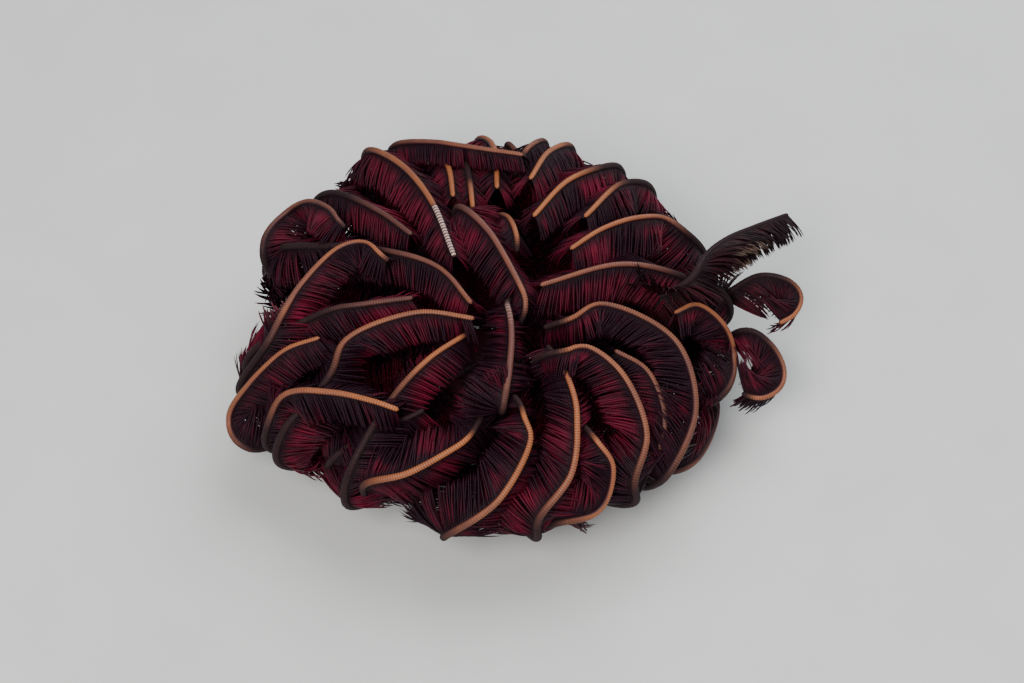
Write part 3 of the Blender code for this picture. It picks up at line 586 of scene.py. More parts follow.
def paint_fringe():
    material, shader, start, place = start_material("wine_pinnules", 0.5)
    shader.inputs["Specular IOR Level"].default_value = 0.13
    spine_map = start.out("UVMap", 0, {"uv_map": "Spine"})
    along = start.out("SeparateXYZ", 0, Vector=spine_map)
    chance = start.out("SeparateXYZ", 1, Vector=spine_map)
    tint_map = start.out("UVMap", 0, {"uv_map": "Tint"})
    pale = start.out("SeparateXYZ", 0, Vector=tint_map)
    patches = start.out("TexNoise", 0, Vector=place, Scale=45.0, Detail=3.0, Roughness=0.55)
    dark = start.out("SeparateXYZ", 1, Vector=tint_map)
    # painted light: crimson patches from noise stand for pinnules lit by the lamp; the rest is the dark
    # wine, painted in shade
    painted_light = (patches + chance * 0.14).between(0.47, 0.78)
    flesh = painted_light.blend(FRINGE_WINE_AND_PAINTED_SHADE, FRINGE_PAINTED_LIGHT)
    flesh = along.between(0.0, 0.35).blend(FRINGE_ROOT, flesh)
    flesh = (along.between(0.6, 1.0) * 0.3).blend(flesh, FRINGE_TIP)
    flesh = dark.blend(flesh, FRINGE_BROWN)
    flesh = (along.between(0.72, 0.95) * pale).blend(flesh, FRINGE_PALE)
    feed(shader, "Base Color", flesh)
    joints = start.maths("COSINE", along * PINNULE_JOINTS)
    feed(shader, "Roughness", 0.55 + joints * 0.06)
    bump = start.node("Bump", Strength=0.25, Distance=0.0001, Height=joints)
    shader.id_data.links.new(bump.outputs[0], shader.inputs["Normal"])
    return material


fringe = paint_fringe()
print("fringe finish", len(fringe.node_tree.nodes), "nodes")

# %% [markdown]
# The cup and the rays are covered in hard plates, mottled red-brown. The disc is a soft, almost
# black leather with a fine grain. Both finishes are noise in the object's own space, because no
# pattern follows their surface.

# %% Colours of the cup and the disc
PLATE_DARK = (0.055, 0.012, 0.012)
PLATE_LIGHT = (0.15, 0.045, 0.028)
PLATE_GRAIN = (0.05, 0.014, 0.014)
LEATHER_DARK = (0.010, 0.0025, 0.005)
LEATHER_LIGHT = (0.045, 0.006, 0.012)


# %% The cup's and the disc's finishes
def paint_plates():
    material, shader, start, place = start_material("cup_plates", 0.5, 0.08)
    mottle = start.out("TexNoise", 0, Vector=place, Scale=160.0, Detail=5.0, Roughness=0.6)
    grain = start.out("TexNoise", 0, Vector=place, Scale=1100.0, Detail=2.0)
    plates = mottle.between(0.35, 0.7).blend(PLATE_DARK, PLATE_LIGHT)
    feed(shader, "Base Color", (grain * 0.4).blend(plates, PLATE_GRAIN))
    feed(shader, "Roughness", 0.4 + grain * 0.25)
    bump = start.node("Bump", Strength=0.3, Distance=0.0002, Height=grain)
    shader.id_data.links.new(bump.outputs[0], shader.inputs["Normal"])
    return material


def paint_disc():
    material, shader, start, place = start_material("disc_leather", 0.6)
    shader.inputs["Specular IOR Level"].default_value = 0.15
    mottle = start.out("TexNoise", 0, Vector=place, Scale=260.0, Detail=6.0, Roughness=0.65)
    cells = start.out("TexVoronoi", 0, Vector=place, Scale=900.0)
    skin = mottle.between(0.35, 0.7).blend(LEATHER_DARK, LEATHER_LIGHT)
    feed(shader, "Base Color", skin)
    feed(shader, "Roughness", 0.35 + mottle * 0.3)
    bump = start.node("Bump", Strength=0.4, Distance=0.0003, Height=cells)
    shader.id_data.links.new(bump.outputs[0], shader.inputs["Normal"])
    return material


plates = paint_plates()
leather = paint_disc()
print("finishes:", ridge.name, fringe.name, plates.name, leather.name)

# %% [markdown]
# A skin for an arm is a flat grid rolled up into a tube. The grid comes ready with a map, so each
# point knows how far along and how far round it is, and the roll only has to say where that is in
# space. Its rings swell and sink once for each disc. The two edges of the roll are then merged,
# and so is each end, which closes the skin.

# %% Rolling a grid into a closed tube
BRACHIAL = 0.85
RINGS_PER_BRACHIAL = 2
TIP_ROUNDING = 1.6
ROOT_ROUNDING = 0.3
SAME_POINT = 1e-7


def rolled_tube(points, ways, ups, radii, rings, sides, beads, swell, strip, tint):
    """points, ways, ups, radii along the tube; strip is its place on the bake map."""
    bm = bmesh.new()
    arm_map = bm.loops.layers.uv.new("Arm")
    bake_map = bm.loops.layers.uv.new("OFBake")
    tint_map = bm.loops.layers.uv.new("Tint")
    bmesh.ops.create_grid(bm, x_segments=rings, y_segments=sides, size=1)
    flat = np.array([v.co[:2] for v in bm.verts]) * 0.5 + 0.5
    steps = np.linspace(0, 1, len(points))
    spot, way, up = (np.stack([np.interp(flat[:, 0], steps, rows[:, k]) for k in range(3)], axis=1)
                     for rows in (points, ways, ups))
    way /= np.linalg.norm(way, axis=1)[:, None]
    up -= way * (up * way).sum(1)[:, None]
    up /= np.linalg.norm(up, axis=1)[:, None]
    side = np.cross(way, up)
    radius = np.interp(flat[:, 0], steps, radii)
    radius = radius * (1 + swell * np.cos(flat[:, 0] * beads * 2 * math.pi))
    run = flat[:, 0] * np.linalg.norm(np.diff(points, axis=0), axis=1).sum()
    total = run.max()
    radius *= np.sqrt(1 - ((run - total) / TIP_ROUNDING + 1).clip(0, 1) ** 2)
    radius *= np.sqrt(np.clip(run / ROOT_ROUNDING, 0, 1))
    turn = flat[:, 1] * 2 * math.pi
    place = spot + radius[:, None] * (np.cos(turn)[:, None] * up + np.sin(turn)[:, None] * side)
    place = (place + CUP_PLACE) * MM
    for face in bm.faces:
        for loop in face.loops:
            u, v = flat[loop.vert.index]
            loop[arm_map].uv = (u * beads, v)
            loop[bake_map].uv = (strip[0] + u * strip[2], strip[1] + v * strip[3])
            loop[tint_map].uv = [float(np.interp(u, steps, column)) for column in tint]
    for vert, p in zip(bm.verts, place):
        vert.co = p
    bmesh.ops.remove_doubles(bm, verts=bm.verts, dist=SAME_POINT)
    bmesh.ops.recalc_face_normals(bm, faces=bm.faces)
    return bm


def finish_piece(name, bm, material, nodes):
    mesh = bpy.data.meshes.new(name)
    bm.to_mesh(mesh)
    bm.free()
    finish_mesh(name, mesh, material, nodes)


def finish_mesh(name, mesh, material, nodes):
    mesh.materials.append(material)
    mesh.shade_smooth()
    piece = bpy.data.objects.new(name, mesh)
    bpy.context.scene.collection.objects.link(piece)
    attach(piece, "root")
    if nodes:
        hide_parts(*nodes)
    triangles = sum(len(p.vertices) - 2 for p in mesh.polygons)
    print(name, triangles, "triangles")


def add_to(whole, part):
    """Adds one bmesh to another by way of a mesh, which keeps the maps."""
    mesh = bpy.data.meshes.new("part")
    part.to_mesh(mesh)
    part.free()
    whole.from_mesh(mesh)
    bpy.data.meshes.remove(mesh)


# %% [markdown]
# The arms' skins are made ray by ray. A colour number for each arm says how orange it is at its
# root and at its tip: the arms in the open are a bright orange-brown, those deep in the ball and
# those with worn backs are browner, with a lilac bloom. A third number is painted shade, and before
# its first station and after its last a ridge fades into painted shade.

# %% How orange each arm is, at its root and its tip, and how much painted shade it has
ORANGE = {
    "left_1": (0.3, 0.3, 0.25), "left_2": (0.35, 0.7, 0.1), "left_3": (0.35, 0.4, 0.2),
    "left_4": (0.2, 0.2, 0.4), "left_5": (0.45, 0.75, 0.1), "left_6": (0.4, 0.45, 0.15),
    "middle_1": (0.2, 0.4, 0.05), "middle_2": (0.4, -0.4, 0.1), "middle_3": (0.5, 0.7, 0.0),
    "back_1": (0.5, 0.8, 0.05), "back_2": (0.5, 0.8, 0.0), "back_3": (0.4, 0.8, 0.05),
    "back_6": (0.6, 0.8, 0.0), "back_7": (0.75, 1.0, 0.0), "back_8": (0.6, 0.8, 0.0),
    "right_1": (0.5, 0.65, 0.0), "right_2": (0.35, 0.45, 0.05), "right_3": (0.2, 0.1, 0.3),
    "right_4": (0.6, 0.8, 0.05), "right_5": (0.5, 0.65, 0.1), "right_6": (0.45, 0.7, 0.15),
    "right_7": (0.3, 0.55, 0.3), "right_8": (0.4, 0.65, 0.15), "right_9": (0.3, 0.45, 0.3),
    "right_10": (0.3, 0.4, 0.4), "front_1": (0.45, 0.65, 0.0), "front_2": (0.5, 0.75, 0.05),
    "front_3": (0.35, 0.8, 0.1), "front_4": (0.5, 0.85, 0.05), "front_5": (0.5, 0.7, 0.05),
    "front_6": (0.4, 0.65, 0.15), "front_7": (0.25, 0.3, 0.45), "front_8": (0.4, 0.7, 0.1),
    "front_9": (0.4, 0.9, 0.05),
}
PLAIN_ORANGE = (0.35, 0.5, 0.15)
FADES = {"left_4": (8.0, 16.0), "back_2": (-1.0, 4.0), "back_1": (2.0, 5.0), "back_3": (-3.0, 4.0)}
PLAIN_FADE = (-3.0, 16.0)
FADE_OUT = 3.0
BLEACHED = {"left_5": (2, -0.9)}
# arms whose whole ridge is painted in shade
WHOLLY_SHADED_ARMS = ("right_3", "front_10")
IN_THE_OPEN = {"back_2": (1, -1), "right_4": (2, -1), "right_5": (1, -2)}


# %% Colour numbers along an arm
def run_at(arm, run, station):
    return run[np.argmin(np.linalg.norm(arm["path"] - arm["seen"][station], axis=1))]


def arm_tint(arm):
    orange_root, orange_tip, shade = ORANGE.get(arm["name"], PLAIN_ORANGE)
    run = np.arange(len(arm["path"])) * ARM_STEP
    if arm["name"] in WHOLLY_SHADED_ARMS:
        return np.full(len(run), orange_root), np.full(len(run), 1.0)
    first, last = IN_THE_OPEN.get(arm["name"], (0, -1))
    start, end = (run_at(arm, run, station) for station in (first, last))
    late, fade = FADES.get(arm["name"], PLAIN_FADE)
    # painted shade: before the first station and after the last the ridge is painted fully shaded, and in
    # between by the arm's own shade number
    bare = np.clip((run - start - late) / fade, 0, 1)
    bare *= np.clip((end + FADE_OUT - run) / FADE_OUT, 0, 1)
    orange = np.interp(run, (start, end), (orange_root, orange_tip))
    if arm["name"] in BLEACHED:
        station, bleached = BLEACHED[arm["name"]]
        orange = np.where(run > run_at(arm, run, station), bleached, orange)
    return orange, 1 - bare * (1 - shade)


# %% Skins of the arms
ARM_SIDES = 12
ARM_SWELL = 0.06
STRIP_LEFT, STRIP_WIDTH = 0.02, 0.9
STRIP_INSET, STRIP_HEIGHT = 0.1, 0.8

for ray in range(RAY_COUNT):
    skins = bmesh.new()
    nodes = []
    for number, arm in enumerate(arms):
        if arm["ray"] != ray:
            continue
        discs = round(arm["length"] / BRACHIAL)
        strip = (STRIP_LEFT, (number + STRIP_INSET) / len(arms), STRIP_WIDTH, STRIP_HEIGHT / len(arms))
        tube = rolled_tube(arm["path"], arm["tangent"], arm["groove"], arm["radius"],
                           discs * RINGS_PER_BRACHIAL, ARM_SIDES, discs, ARM_SWELL, strip, arm_tint(arm))
        add_to(skins, tube)
        nodes.append("arm_" + arm["name"])
    finish_piece("arm_skins_%d" % (ray + 1), skins, ridge, nodes)

# %% [markdown]
# One pinnule is drawn once: a four-sided ring pulled out six times and closed at its tip.
# Thousands of copies are then thinned, bent and set in place all at once, with arrays of
# numbers instead of one operator call each. A pinnule grows from the edge of the groove, leans
# towards the arm's tip and curls over the groove. Where it would run into another arm it opens
# less or ends sooner.

# %% One pinnule
PINNULE_RINGS = 6
PINNULE_SIDES = 4


def pinnule_template():
    bm = bmesh.new()
    ring = bmesh.ops.create_circle(bm, segments=PINNULE_SIDES, radius=1, cap_ends=False)["verts"]
    upright = Vector((0, 0, 1)).rotation_difference(Vector((1, 0, 0))).to_matrix()
    bmesh.ops.rotate(bm, verts=ring, cent=(0, 0, 0), matrix=upright)
    edges = list(bm.edges)
    for step in range(PINNULE_RINGS):
        made = bmesh.ops.extrude_edge_only(bm, edges=edges)["geom"]
        verts = [g for g in made if isinstance(g, bmesh.types.BMVert)]
        edges = [g for g in made if isinstance(g, bmesh.types.BMEdge)]
        bmesh.ops.translate(bm, verts=verts, vec=(1 / PINNULE_RINGS, 0, 0))
    bmesh.ops.pointmerge(bm, verts=verts, merge_co=(1, 0, 0))
    bmesh.ops.recalc_face_normals(bm, faces=bm.faces)
    mesh = bpy.data.meshes.new("pinnule")
    bm.to_mesh(mesh)
    bm.free()
    points = np.array([v.co for v in mesh.vertices])
    faces = [list(p.vertices) for p in mesh.polygons]
    bpy.data.meshes.remove(mesh)
    return points, faces


template, template_faces = pinnule_template()
print("a pinnule has", len(template), "points and", len(template_faces), "faces")

# %% [markdown]
# How many pinnules there are decides whether a fringe closes or shows daylight, so some arms have
# theirs closer or longer. They open less towards an arm's tip, and least where an arm curls in the
# open, so that its two rows lie together like a fan. A slow wave and a little chance keep the rows
# from looking combed.

# %% Lengths, spacing and openings of the pinnules
PINNULE_LENGTHS = (15.0, 16.0, 9.5)
LENGTH_SHARES = (0, 0.45, 1)
LENGTH_CHANCE = (0.92, 1.05)
PINNULE_PITCH = 0.24
LONGER = {"left_6": 0.68, "right_1": 1.3, "right_2": 1.2, "back_8": 1.1, "front_3": 1.1, "front_4": 1.1,
          "right_4": 1.1, "right_5": 1.25}
DENSER = {"left_6": 0.16, "right_1": 0.14, "right_2": 0.16, "left_1": 0.20, "front_8": 0.20, "right_6": 0.21,
          "right_10": 0.21, "back_6": 0.21, "back_7": 0.20, "back_8": 0.20, "front_3": 0.20, "front_4": 0.18,
          "right_3": 0.19, "right_4": 0.20, "right_5": 0.22, "left_4": 0.22}
PINNULE_START = 2.0
PINNULE_END = 0.8
LOWER_PITCH = 0.185
LOWER_RUN = (14.0, 84.0)
OPENING = math.radians(62)
OPENING_TIP = math.radians(48)
OPENING_CURLED = math.radians(36)
OPENING_FLARED = math.radians(75)
OPENING_WAVE = (0.12, 0.21)
FLARED = {"right_4": 14.0, "right_5": 24.0}
PLAIN_FLARE = 24.0
FLARE_END = 4.0
RANK_SPREAD = 0.22
PHASE_RANGE = (0, 6.28)
LOW_OPENING = math.radians(10)
LOW_OPENING_RUN = (50.0, 70.0)

# %% How they lean and where they are rooted
LEAN = math.radians(26)
LEAN_WAVE = (0.12, 0.13)
LEAN_CHANCE = 0.08
STRAIGHTENED = {"right_3": (38.0, 4.0)}
STRAIGHTENED_RUN = (75.0, 95.0)
ORAL_LEAN = math.radians(55)
ORAL_RUN = (14.0, 26.0)
ROOT_OUT = 0.75
ROOT_TURN = 0.9
CLOSED_SHARES = (1.0, 0.6, 0.25)
NEAR_SHARES = (0.35, 0.6, 0.85, 1.0)
NEAR_REACH = 0.5
CLEARANCE = 0.35
HIT_MARGIN = 0.15
SHORTEST = 0.3
random.seed(7)


# %% Which arm is near a thread
def arm_tree():
    count = sum(len(a["path"]) for a in arms)
    tree = KDTree(count)
    owners, radii = [], []
    for number, arm in enumerate(arms):
        for p, r in zip(arm["path"], arm["radius"]):
            tree.insert(p, len(owners))
            owners.append(number)
            radii.append(r)
    tree.balance()
    return tree, owners, radii


tree, tree_owner, tree_radius = arm_tree()
print(len(tree_owner), "points on the arms to keep clear of")


def blocked(root, tip, number):
    """How near to its root the thread meets another arm, or nothing."""
    for share in NEAR_SHARES:
        p = root + (tip - root) * share
        for q, i, far in tree.find_range(p, ARM_RADIUS + NEAR_REACH):
            if tree_owner[i] != number and far < tree_radius[i] + CLEARANCE:
                return share
    return None


# %% The opening and the lean at a place along an arm
def opening_at(arm, place, phase):
    opening = float(np.interp(place / arm["length"], (0.5, 1), (OPENING, OPENING_TIP)))
    if arm["name"] in CURLED:
        start = CURLED[arm["name"]][0]
        tip_opening = OPENING_FLARED if arm["name"] in FLARED else OPENING_CURLED
        flare = arm["length"] - FLARED.get(arm["name"], PLAIN_FLARE)
        opening = float(np.interp(place, (start, start + CURLED_TURN, flare, arm["length"] - FLARE_END),
                                  (OPENING, OPENING_CURLED, OPENING_CURLED, tip_opening)))
    opening *= 1 + OPENING_WAVE[0] * math.sin(place * OPENING_WAVE[1] + phase)
    opening += float(np.interp(place, LOW_OPENING_RUN, (LOW_OPENING, 0)))
    return opening + random.uniform(-RANK_SPREAD, RANK_SPREAD)


def lean_at(arm, place, phase):
    lean = LEAN + LEAN_WAVE[0] * math.sin(place * LEAN_WAVE[1] + phase * 2)
    lean += random.uniform(-LEAN_CHANCE, LEAN_CHANCE)
    lean -= float(np.interp(place, ORAL_RUN, (ORAL_LEAN, 0)))
    if arm["name"] in STRAIGHTENED:
        leans = (math.degrees(LEAN), *STRAIGHTENED[arm["name"]])
        lean = math.radians(float(np.interp(place, (*STRAIGHTENED_RUN, arm["length"]), leans)))
    return lean


# %% Growing one arm's pinnules
def grow(number, arm):
    """Roots, directions, lengths and numbers of one arm's pinnules."""
    rows = []
    place, side = PINNULE_START, 1
    phase = random.uniform(*PHASE_RANGE)
    steps = np.arange(len(arm["path"])) * ARM_STEP
    while place < arm["length"] - PINNULE_END:
        p, t, g = (np.array([np.interp(place, steps, arm[key][:, k]) for k in range(3)])
                   for key in ("path", "tangent", "groove"))
        t, g = unit(t), unit(g)
        r = float(np.interp(place, steps, arm["radius"]))
        across = np.cross(t, g) * side
        length = float(np.interp(place / arm["length"], LENGTH_SHARES, PINNULE_LENGTHS))
        length *= random.uniform(*LENGTH_CHANCE) * LONGER.get(arm["name"], 1.0)
        opening = opening_at(arm, place, phase)
        lean = lean_at(arm, place, phase)
        root = p + r * ROOT_OUT * (math.cos(ROOT_TURN) * g + math.sin(ROOT_TURN) * across)
        for closer in CLOSED_SHARES:
            lie = opening * closer
            way = math.cos(lean) * (math.cos(lie) * g + math.sin(lie) * across) + math.sin(lean) * t
            way = unit(way)
            hit = blocked(root, root + way * length, number)
            if hit is None:
                break
        if hit is not None:
            length *= max(hit - HIT_MARGIN, SHORTEST)
        inward = unit(g - way * (g @ way))
        rows.append((root, way, inward, length, r, place, side, random.random()))
        pitch = DENSER.get(arm["name"], PINNULE_PITCH)
        place += min(pitch, LOWER_PITCH) if LOWER_RUN[0] < place < LOWER_RUN[1] else pitch
        side = -side
    return rows


grown = [grow(number, arm) for number, arm in enumerate(arms)]
print(sum(len(rows) for rows in grown), "pinnules")

# %% [markdown]
# Each copy keeps numbers of its own: its chance, how pale its tip and how brown its whole thread
# is, and a small patch of the bake map. Only the outflung arm has pale tips, halfway along it. An
# array holds one row for each copy and one column for each point of the template, so that a whole
# fringe is bent by the few sums that would bend one thread.

# %% Thickness, curl and colour of the copies
PINNULE_WIDE = (0.42, 0.21)
PINNULE_THIN = (0.30, 0.12)
THINNING = 2.5
THIN_ARM_SHARE = 0.75
CURL = 0.55
CURL_CHANCE = (0.6, 1.4)
PALE_ARMS = {"right_3": 0.7}
PALE_RUN = (84, 92, 106, 116)
PALE_CHANCE = 0.35
DARK_ARMS = {"right_3": 0.75, "right_4": 0.35}
MAP_LENGTH, MAP_WIDTH = 200, 0.95
RANK_INSET = 0.25
PATCH = 0.003


def pinnule_tint(name, place, chance):
    pale = PALE_ARMS.get(name, 0.0) * float(np.interp(place, PALE_RUN, (0, 1, 1, 0)))
    return pale * (chance > PALE_CHANCE), DARK_ARMS.get(name, 0.0)


# %% Bending the copies into place
def pinnule_points(rows):
    root, way, inward = (np.array([row[k] for row in rows]) for k in range(3))
    length, thick, chance = (np.array([row[k] for row in rows])[:, None] for k in (3, 4, 7))
    across = np.cross(way, inward)
    curl = CURL * (CURL_CHANCE[0] + (CURL_CHANCE[1] - CURL_CHANCE[0]) * chance)
    x = template[:, 0].clip(0, 1)[None, :]
    angle = curl * x
    slim = THIN_ARM_SHARE + (1 - THIN_ARM_SHARE) * thick / ARM_RADIUS
    y, z = (template[:, k][None, :] * (near + (far - near) * x ** THINNING) * slim
            for k, (near, far) in ((1, PINNULE_WIDE), (2, PINNULE_THIN)))
    ahead = np.sin(angle) / curl * length - z * np.sin(angle)
    aside = (1 - np.cos(angle)) / curl * length + z * np.cos(angle)
    out = ahead[..., None] * way[:, None] + aside[..., None] * inward[:, None]
    out += y[..., None] * across[:, None]
    return (root[:, None] + out + CUP_PLACE) * MM


def add_map(mesh, name, first, second):
    values = np.stack(np.broadcast_arrays(first, second), axis=2)
    layer = mesh.uv_layers.new(name=name)
    layer.data.foreach_set("uv", values.astype(np.float32).ravel())


# %% Setting the copies
def set_pinnules(name, members):
    rows = [row for number in members for row in grown[number]]
    owners = [number for number in members for _ in grown[number]]
    count, size = len(rows), len(template)
    faces = [[i * size + k for k in face] for i in range(count) for face in template_faces]
    mesh = bpy.data.meshes.new(name)
    mesh.from_pydata(pinnule_points(rows).reshape(-1, 3), [], faces)
    corners = np.concatenate([np.array(face) for face in template_faces])
    along = template[corners, 0][None, :]
    around = (np.arctan2(template[corners, 2], template[corners, 1]) / (2 * math.pi) % 1)[None, :]
    place, side, chance = (np.array([row[k] for row in rows])[:, None] for k in (5, 6, 7))
    tints = np.array([pinnule_tint(arms[number]["name"], row[5], row[7])
                      for number, row in zip(owners, rows)])
    left = STRIP_LEFT + place / MAP_LENGTH * MAP_WIDTH
    low = (np.array(owners)[:, None] + RANK_INSET * (1 + side)) / len(arms)
    add_map(mesh, "Spine", along, chance)
    add_map(mesh, "OFBake", left + PATCH * along, low + PATCH * around)
    add_map(mesh, "Tint", np.broadcast_to(tints[:, 0:1], (count, len(corners))), tints[:, 1:2])
    mesh.validate()
    finish_mesh(name, mesh, fringe, [])


FRINGES_PER_RAY = 2
for ray in range(RAY_COUNT):
    members = [number for number, arm in enumerate(arms) if arm["ray"] == ray]
    for part in range(FRINGES_PER_RAY):
        name = "pinnules_%d" % (ray * FRINGES_PER_RAY + part + 1)
        set_pinnules(name, members[part::FRINGES_PER_RAY])

# %% [markdown]
# Under the ball the five rays fork twice before their arms part. Plain cones would do for what
# shows of them from above, but the model is looked at from all sides, so each stretch of a ray is
# a short tube of thick plates, rolled by the same function as the arms.


# %% Skins of the rays
RAY_PLATE = 1.3
LEAST_PLATES = 3
RAY_POINTS = 12
RAY_SIDES = 16
RINGS_PER_PLATE = 4
RAY_SWELL = 0.05
RAY_STRIP_STEP, RAY_STRIP_HEIGHT = 0.1, 0.08
FORK_REACH = 1.2
FORK_TAPER = 0.96
FORK_RISE = (0.13, 0.07)


def straight_tube(inner, outer, radii, beads, strip):
    points = np.linspace(inner, outer, RAY_POINTS)
    way = np.tile(unit(outer - inner), (RAY_POINTS, 1))
    up = np.tile(np.array([0.0, 0.0, 1.0]), (RAY_POINTS, 1))
    tint = np.zeros((2, RAY_POINTS))
    return rolled_tube(points, way, up, np.linspace(*radii, RAY_POINTS), beads * RINGS_PER_PLATE,
                       RAY_SIDES, beads, RAY_SWELL, strip, tint)


for ray in range(RAY_COUNT):
    forks = bmesh.new()
    levels = fork_groups(arms, ray)
    for level, groups in enumerate(levels):
        for group in groups:
            outer_bearing = sum(group) / len(group)
            parent = next((g for g in levels[level - 1] if group[0] in g), group) if level else group
            inner_bearing = sum(parent) / len(parent)
            inner = polar(FORK_RADII[level], inner_bearing, RAY_HEIGHT + level * FORK_RISE[0])
            outer = polar(FORK_RADII[level + 1] + FORK_REACH, outer_bearing,
                          RAY_HEIGHT + level * FORK_RISE[1])
            beads = max(LEAST_PLATES, round(np.linalg.norm(outer - inner) / RAY_PLATE))
            r = FORK_THICKNESS[level]
            strip = (STRIP_LEFT, RAY_STRIP_STEP * level, STRIP_WIDTH, RAY_STRIP_HEIGHT)
            add_to(forks, straight_tube(inner, outer, (r, r * FORK_TAPER), beads, strip))
    finish_piece("ray_skin_%d" % (ray + 1), forks, plates, ["ray_%d" % (ray + 1)])

# %% [markdown]
# The cup's button is the middle of the animal. It sits beneath the rays and carries two rows of
# gripping cirri, which arch out and down to stand on the floor. The button is a sphere whose
# points are pushed out into a low, faintly ribbed drum: that keeps its poles closed, which a drum
# built from rings would need extra care for. Each cirrus is one more rolled and jointed tube.

# %% Sizes of the cup's button
CUP_RADIUS = 5.6
CUP_TOP = 11.2
CUP_BOTTOM = 5.0
CUP_NARROWING = 0.12
CUP_RIBS, CUP_RIB_DEPTH = 20, 0.025
CUP_SHOULDER = (0.75, 0.45)
CUP_MAP = (0.75, 0.015)

# %% Sizes of the cirri
CIRRUS_COUNT = 16
CIRRUS_REACH = 25.0
CIRRUS_INSET = 2.2
CIRRUS_ROOT = 9.2
ROW_STEP = (5.0, 1.6, 1.8)
CIRRUS_ARCH = 9.5
ANKLE_HEIGHT = 5.0
CIRRUS_BENDS = (0.58, 0.94)
CIRRUS_SWAY = (0.05, 0.08, 0.09)
FOOT_LIFT = 0.25
FOOT_HEIGHT = 1.5
CIRRUS_STEP = 0.8
CIRRUS_JOINT = 1.1
CIRRUS_RADII = ((0, 0.15, 0.8, 1), (0.95, 0.78, 0.72, 0.6))
CIRRUS_SIDES = 10
CIRRUS_SWELL = 0.07
RINGS_PER_JOINT = 3
CIRRI_LOW, CIRRI_SPAN = 0.02, 0.5
CIRRUS_MAP_WIDTH, CIRRUS_MAP_SHARE = 0.6, 0.8


# %% The cup's button
def cup_point(spot):
    high = spot.z
    bearing = math.atan2(spot.y, spot.x)
    wide = CUP_RADIUS * (1 - CUP_NARROWING * max(-high, 0))
    wide *= 1 + CUP_RIB_DEPTH * math.sin(CUP_RIBS * bearing) * (1 - abs(high))
    rise = math.copysign(abs(high) ** CUP_SHOULDER[0], high)
    z = CUP_BOTTOM + (CUP_TOP - CUP_BOTTOM) * (0.5 + 0.5 * rise)
    level = math.sqrt(max(1 - high * high, 0)) ** CUP_SHOULDER[1]
    lie = Vector((spot.x, spot.y, 0))
    lie = lie.normalized() * wide * level if lie.length > 1e-6 else lie
    return (Vector((lie.x, lie.y, z)) + Vector(CUP_PLACE)) * MM


def build_button():
    whole = bmesh.new()
    made = bmesh.ops.create_uvsphere(whole, u_segments=40, v_segments=20, radius=1)["verts"]
    for vert in made:
        vert.co = cup_point(vert.co)
    for name in ("Arm", "OFBake", "Tint"):
        whole.loops.layers.uv.new(name)
    bake = whole.loops.layers.uv["OFBake"]
    for face in whole.faces:
        for loop in face.loops:
            co = loop.vert.co / MM - Vector(CUP_PLACE)
            loop[bake].uv = (CUP_MAP[0] + co.x * CUP_MAP[1], CUP_MAP[0] + co.y * CUP_MAP[1])
    return whole


# %% One cirrus
def carried_ups(points):
    way = np.gradient(points, axis=0)
    way /= np.linalg.norm(way, axis=1)[:, None]
    ups = np.zeros_like(points)
    up = np.array([0.1, 0.05, 1.0])
    for i, w in enumerate(way):
        up = unit(up - w * (up @ w))
        ups[i] = up
    return way, ups


def build_cirrus(i):
    bearing = 2 * math.pi * (i + 0.5) / CIRRUS_COUNT
    row = i % 2
    reach = CIRRUS_REACH - ROW_STEP[0] * row
    start = polar(CUP_RADIUS - CIRRUS_INSET, bearing, CIRRUS_ROOT - ROW_STEP[1] * row)
    knee = polar(reach * CIRRUS_BENDS[0], bearing + CIRRUS_SWAY[0], CIRRUS_ARCH - ROW_STEP[2] * row)
    ankle = polar(reach * CIRRUS_BENDS[1], bearing + CIRRUS_SWAY[1], ANKLE_HEIGHT)
    foot = polar(reach, bearing + CIRRUS_SWAY[2], FOOT_LIFT)
    points = smooth_curve([start, knee, ankle, foot + [0, 0, FOOT_HEIGHT], foot], CIRRUS_STEP)
    way, ups = carried_ups(points)
    beads = round(len(points) * CIRRUS_STEP / CIRRUS_JOINT)
    radii = np.interp(np.linspace(0, 1, len(points)), *CIRRUS_RADII)
    strip = (STRIP_LEFT, CIRRI_LOW + CIRRI_SPAN * i / CIRRUS_COUNT,
             CIRRUS_MAP_WIDTH, CIRRUS_MAP_SHARE * CIRRI_SPAN / CIRRUS_COUNT)
    tint = np.zeros((2, len(points)))
    return rolled_tube(points, way, ups, radii, beads * RINGS_PER_JOINT, CIRRUS_SIDES, beads,
                       CIRRUS_SWELL, strip, tint)


# %% The cup and all its cirri in one piece
cup = build_button()
for i in range(CIRRUS_COUNT):
    add_to(cup, build_cirrus(i))
finish_piece("cup_and_cirri", cup, plates, ["centrodorsal"])

# %% [markdown]
# The disc is the animal's soft upper face, hidden in the ball. Five grooves run in from the rays
# to the mouth, and a small cone beside it is the vent. It could be sculpted by hand. A sphere is
# simpler, because its rings already run round the mouth: each of its points is only raised or
# sunk by a formula for the dome, the grooves, the vent and the mouth.

# %% The disc
DISC_RADIUS = 16.5
DISC_INSET = 0.98
DISC_LOW = 16.9
DISC_HIGH = 21.5
DISC_RIM = 0.28
GROOVE_WIDTH, GROOVE_DEPTH = 0.22, 0.55
GROOVE_MIDDLE, GROOVE_RUN = 0.5, 0.42
VENT_AT, VENT_SPREAD, VENT_HEIGHT = (0.35, -0.3), 0.012, 0.9
MOUTH_RADIUS, MOUTH_DEPTH = 0.13, 0.5
DISC_MAP = (0.5, 0.036)


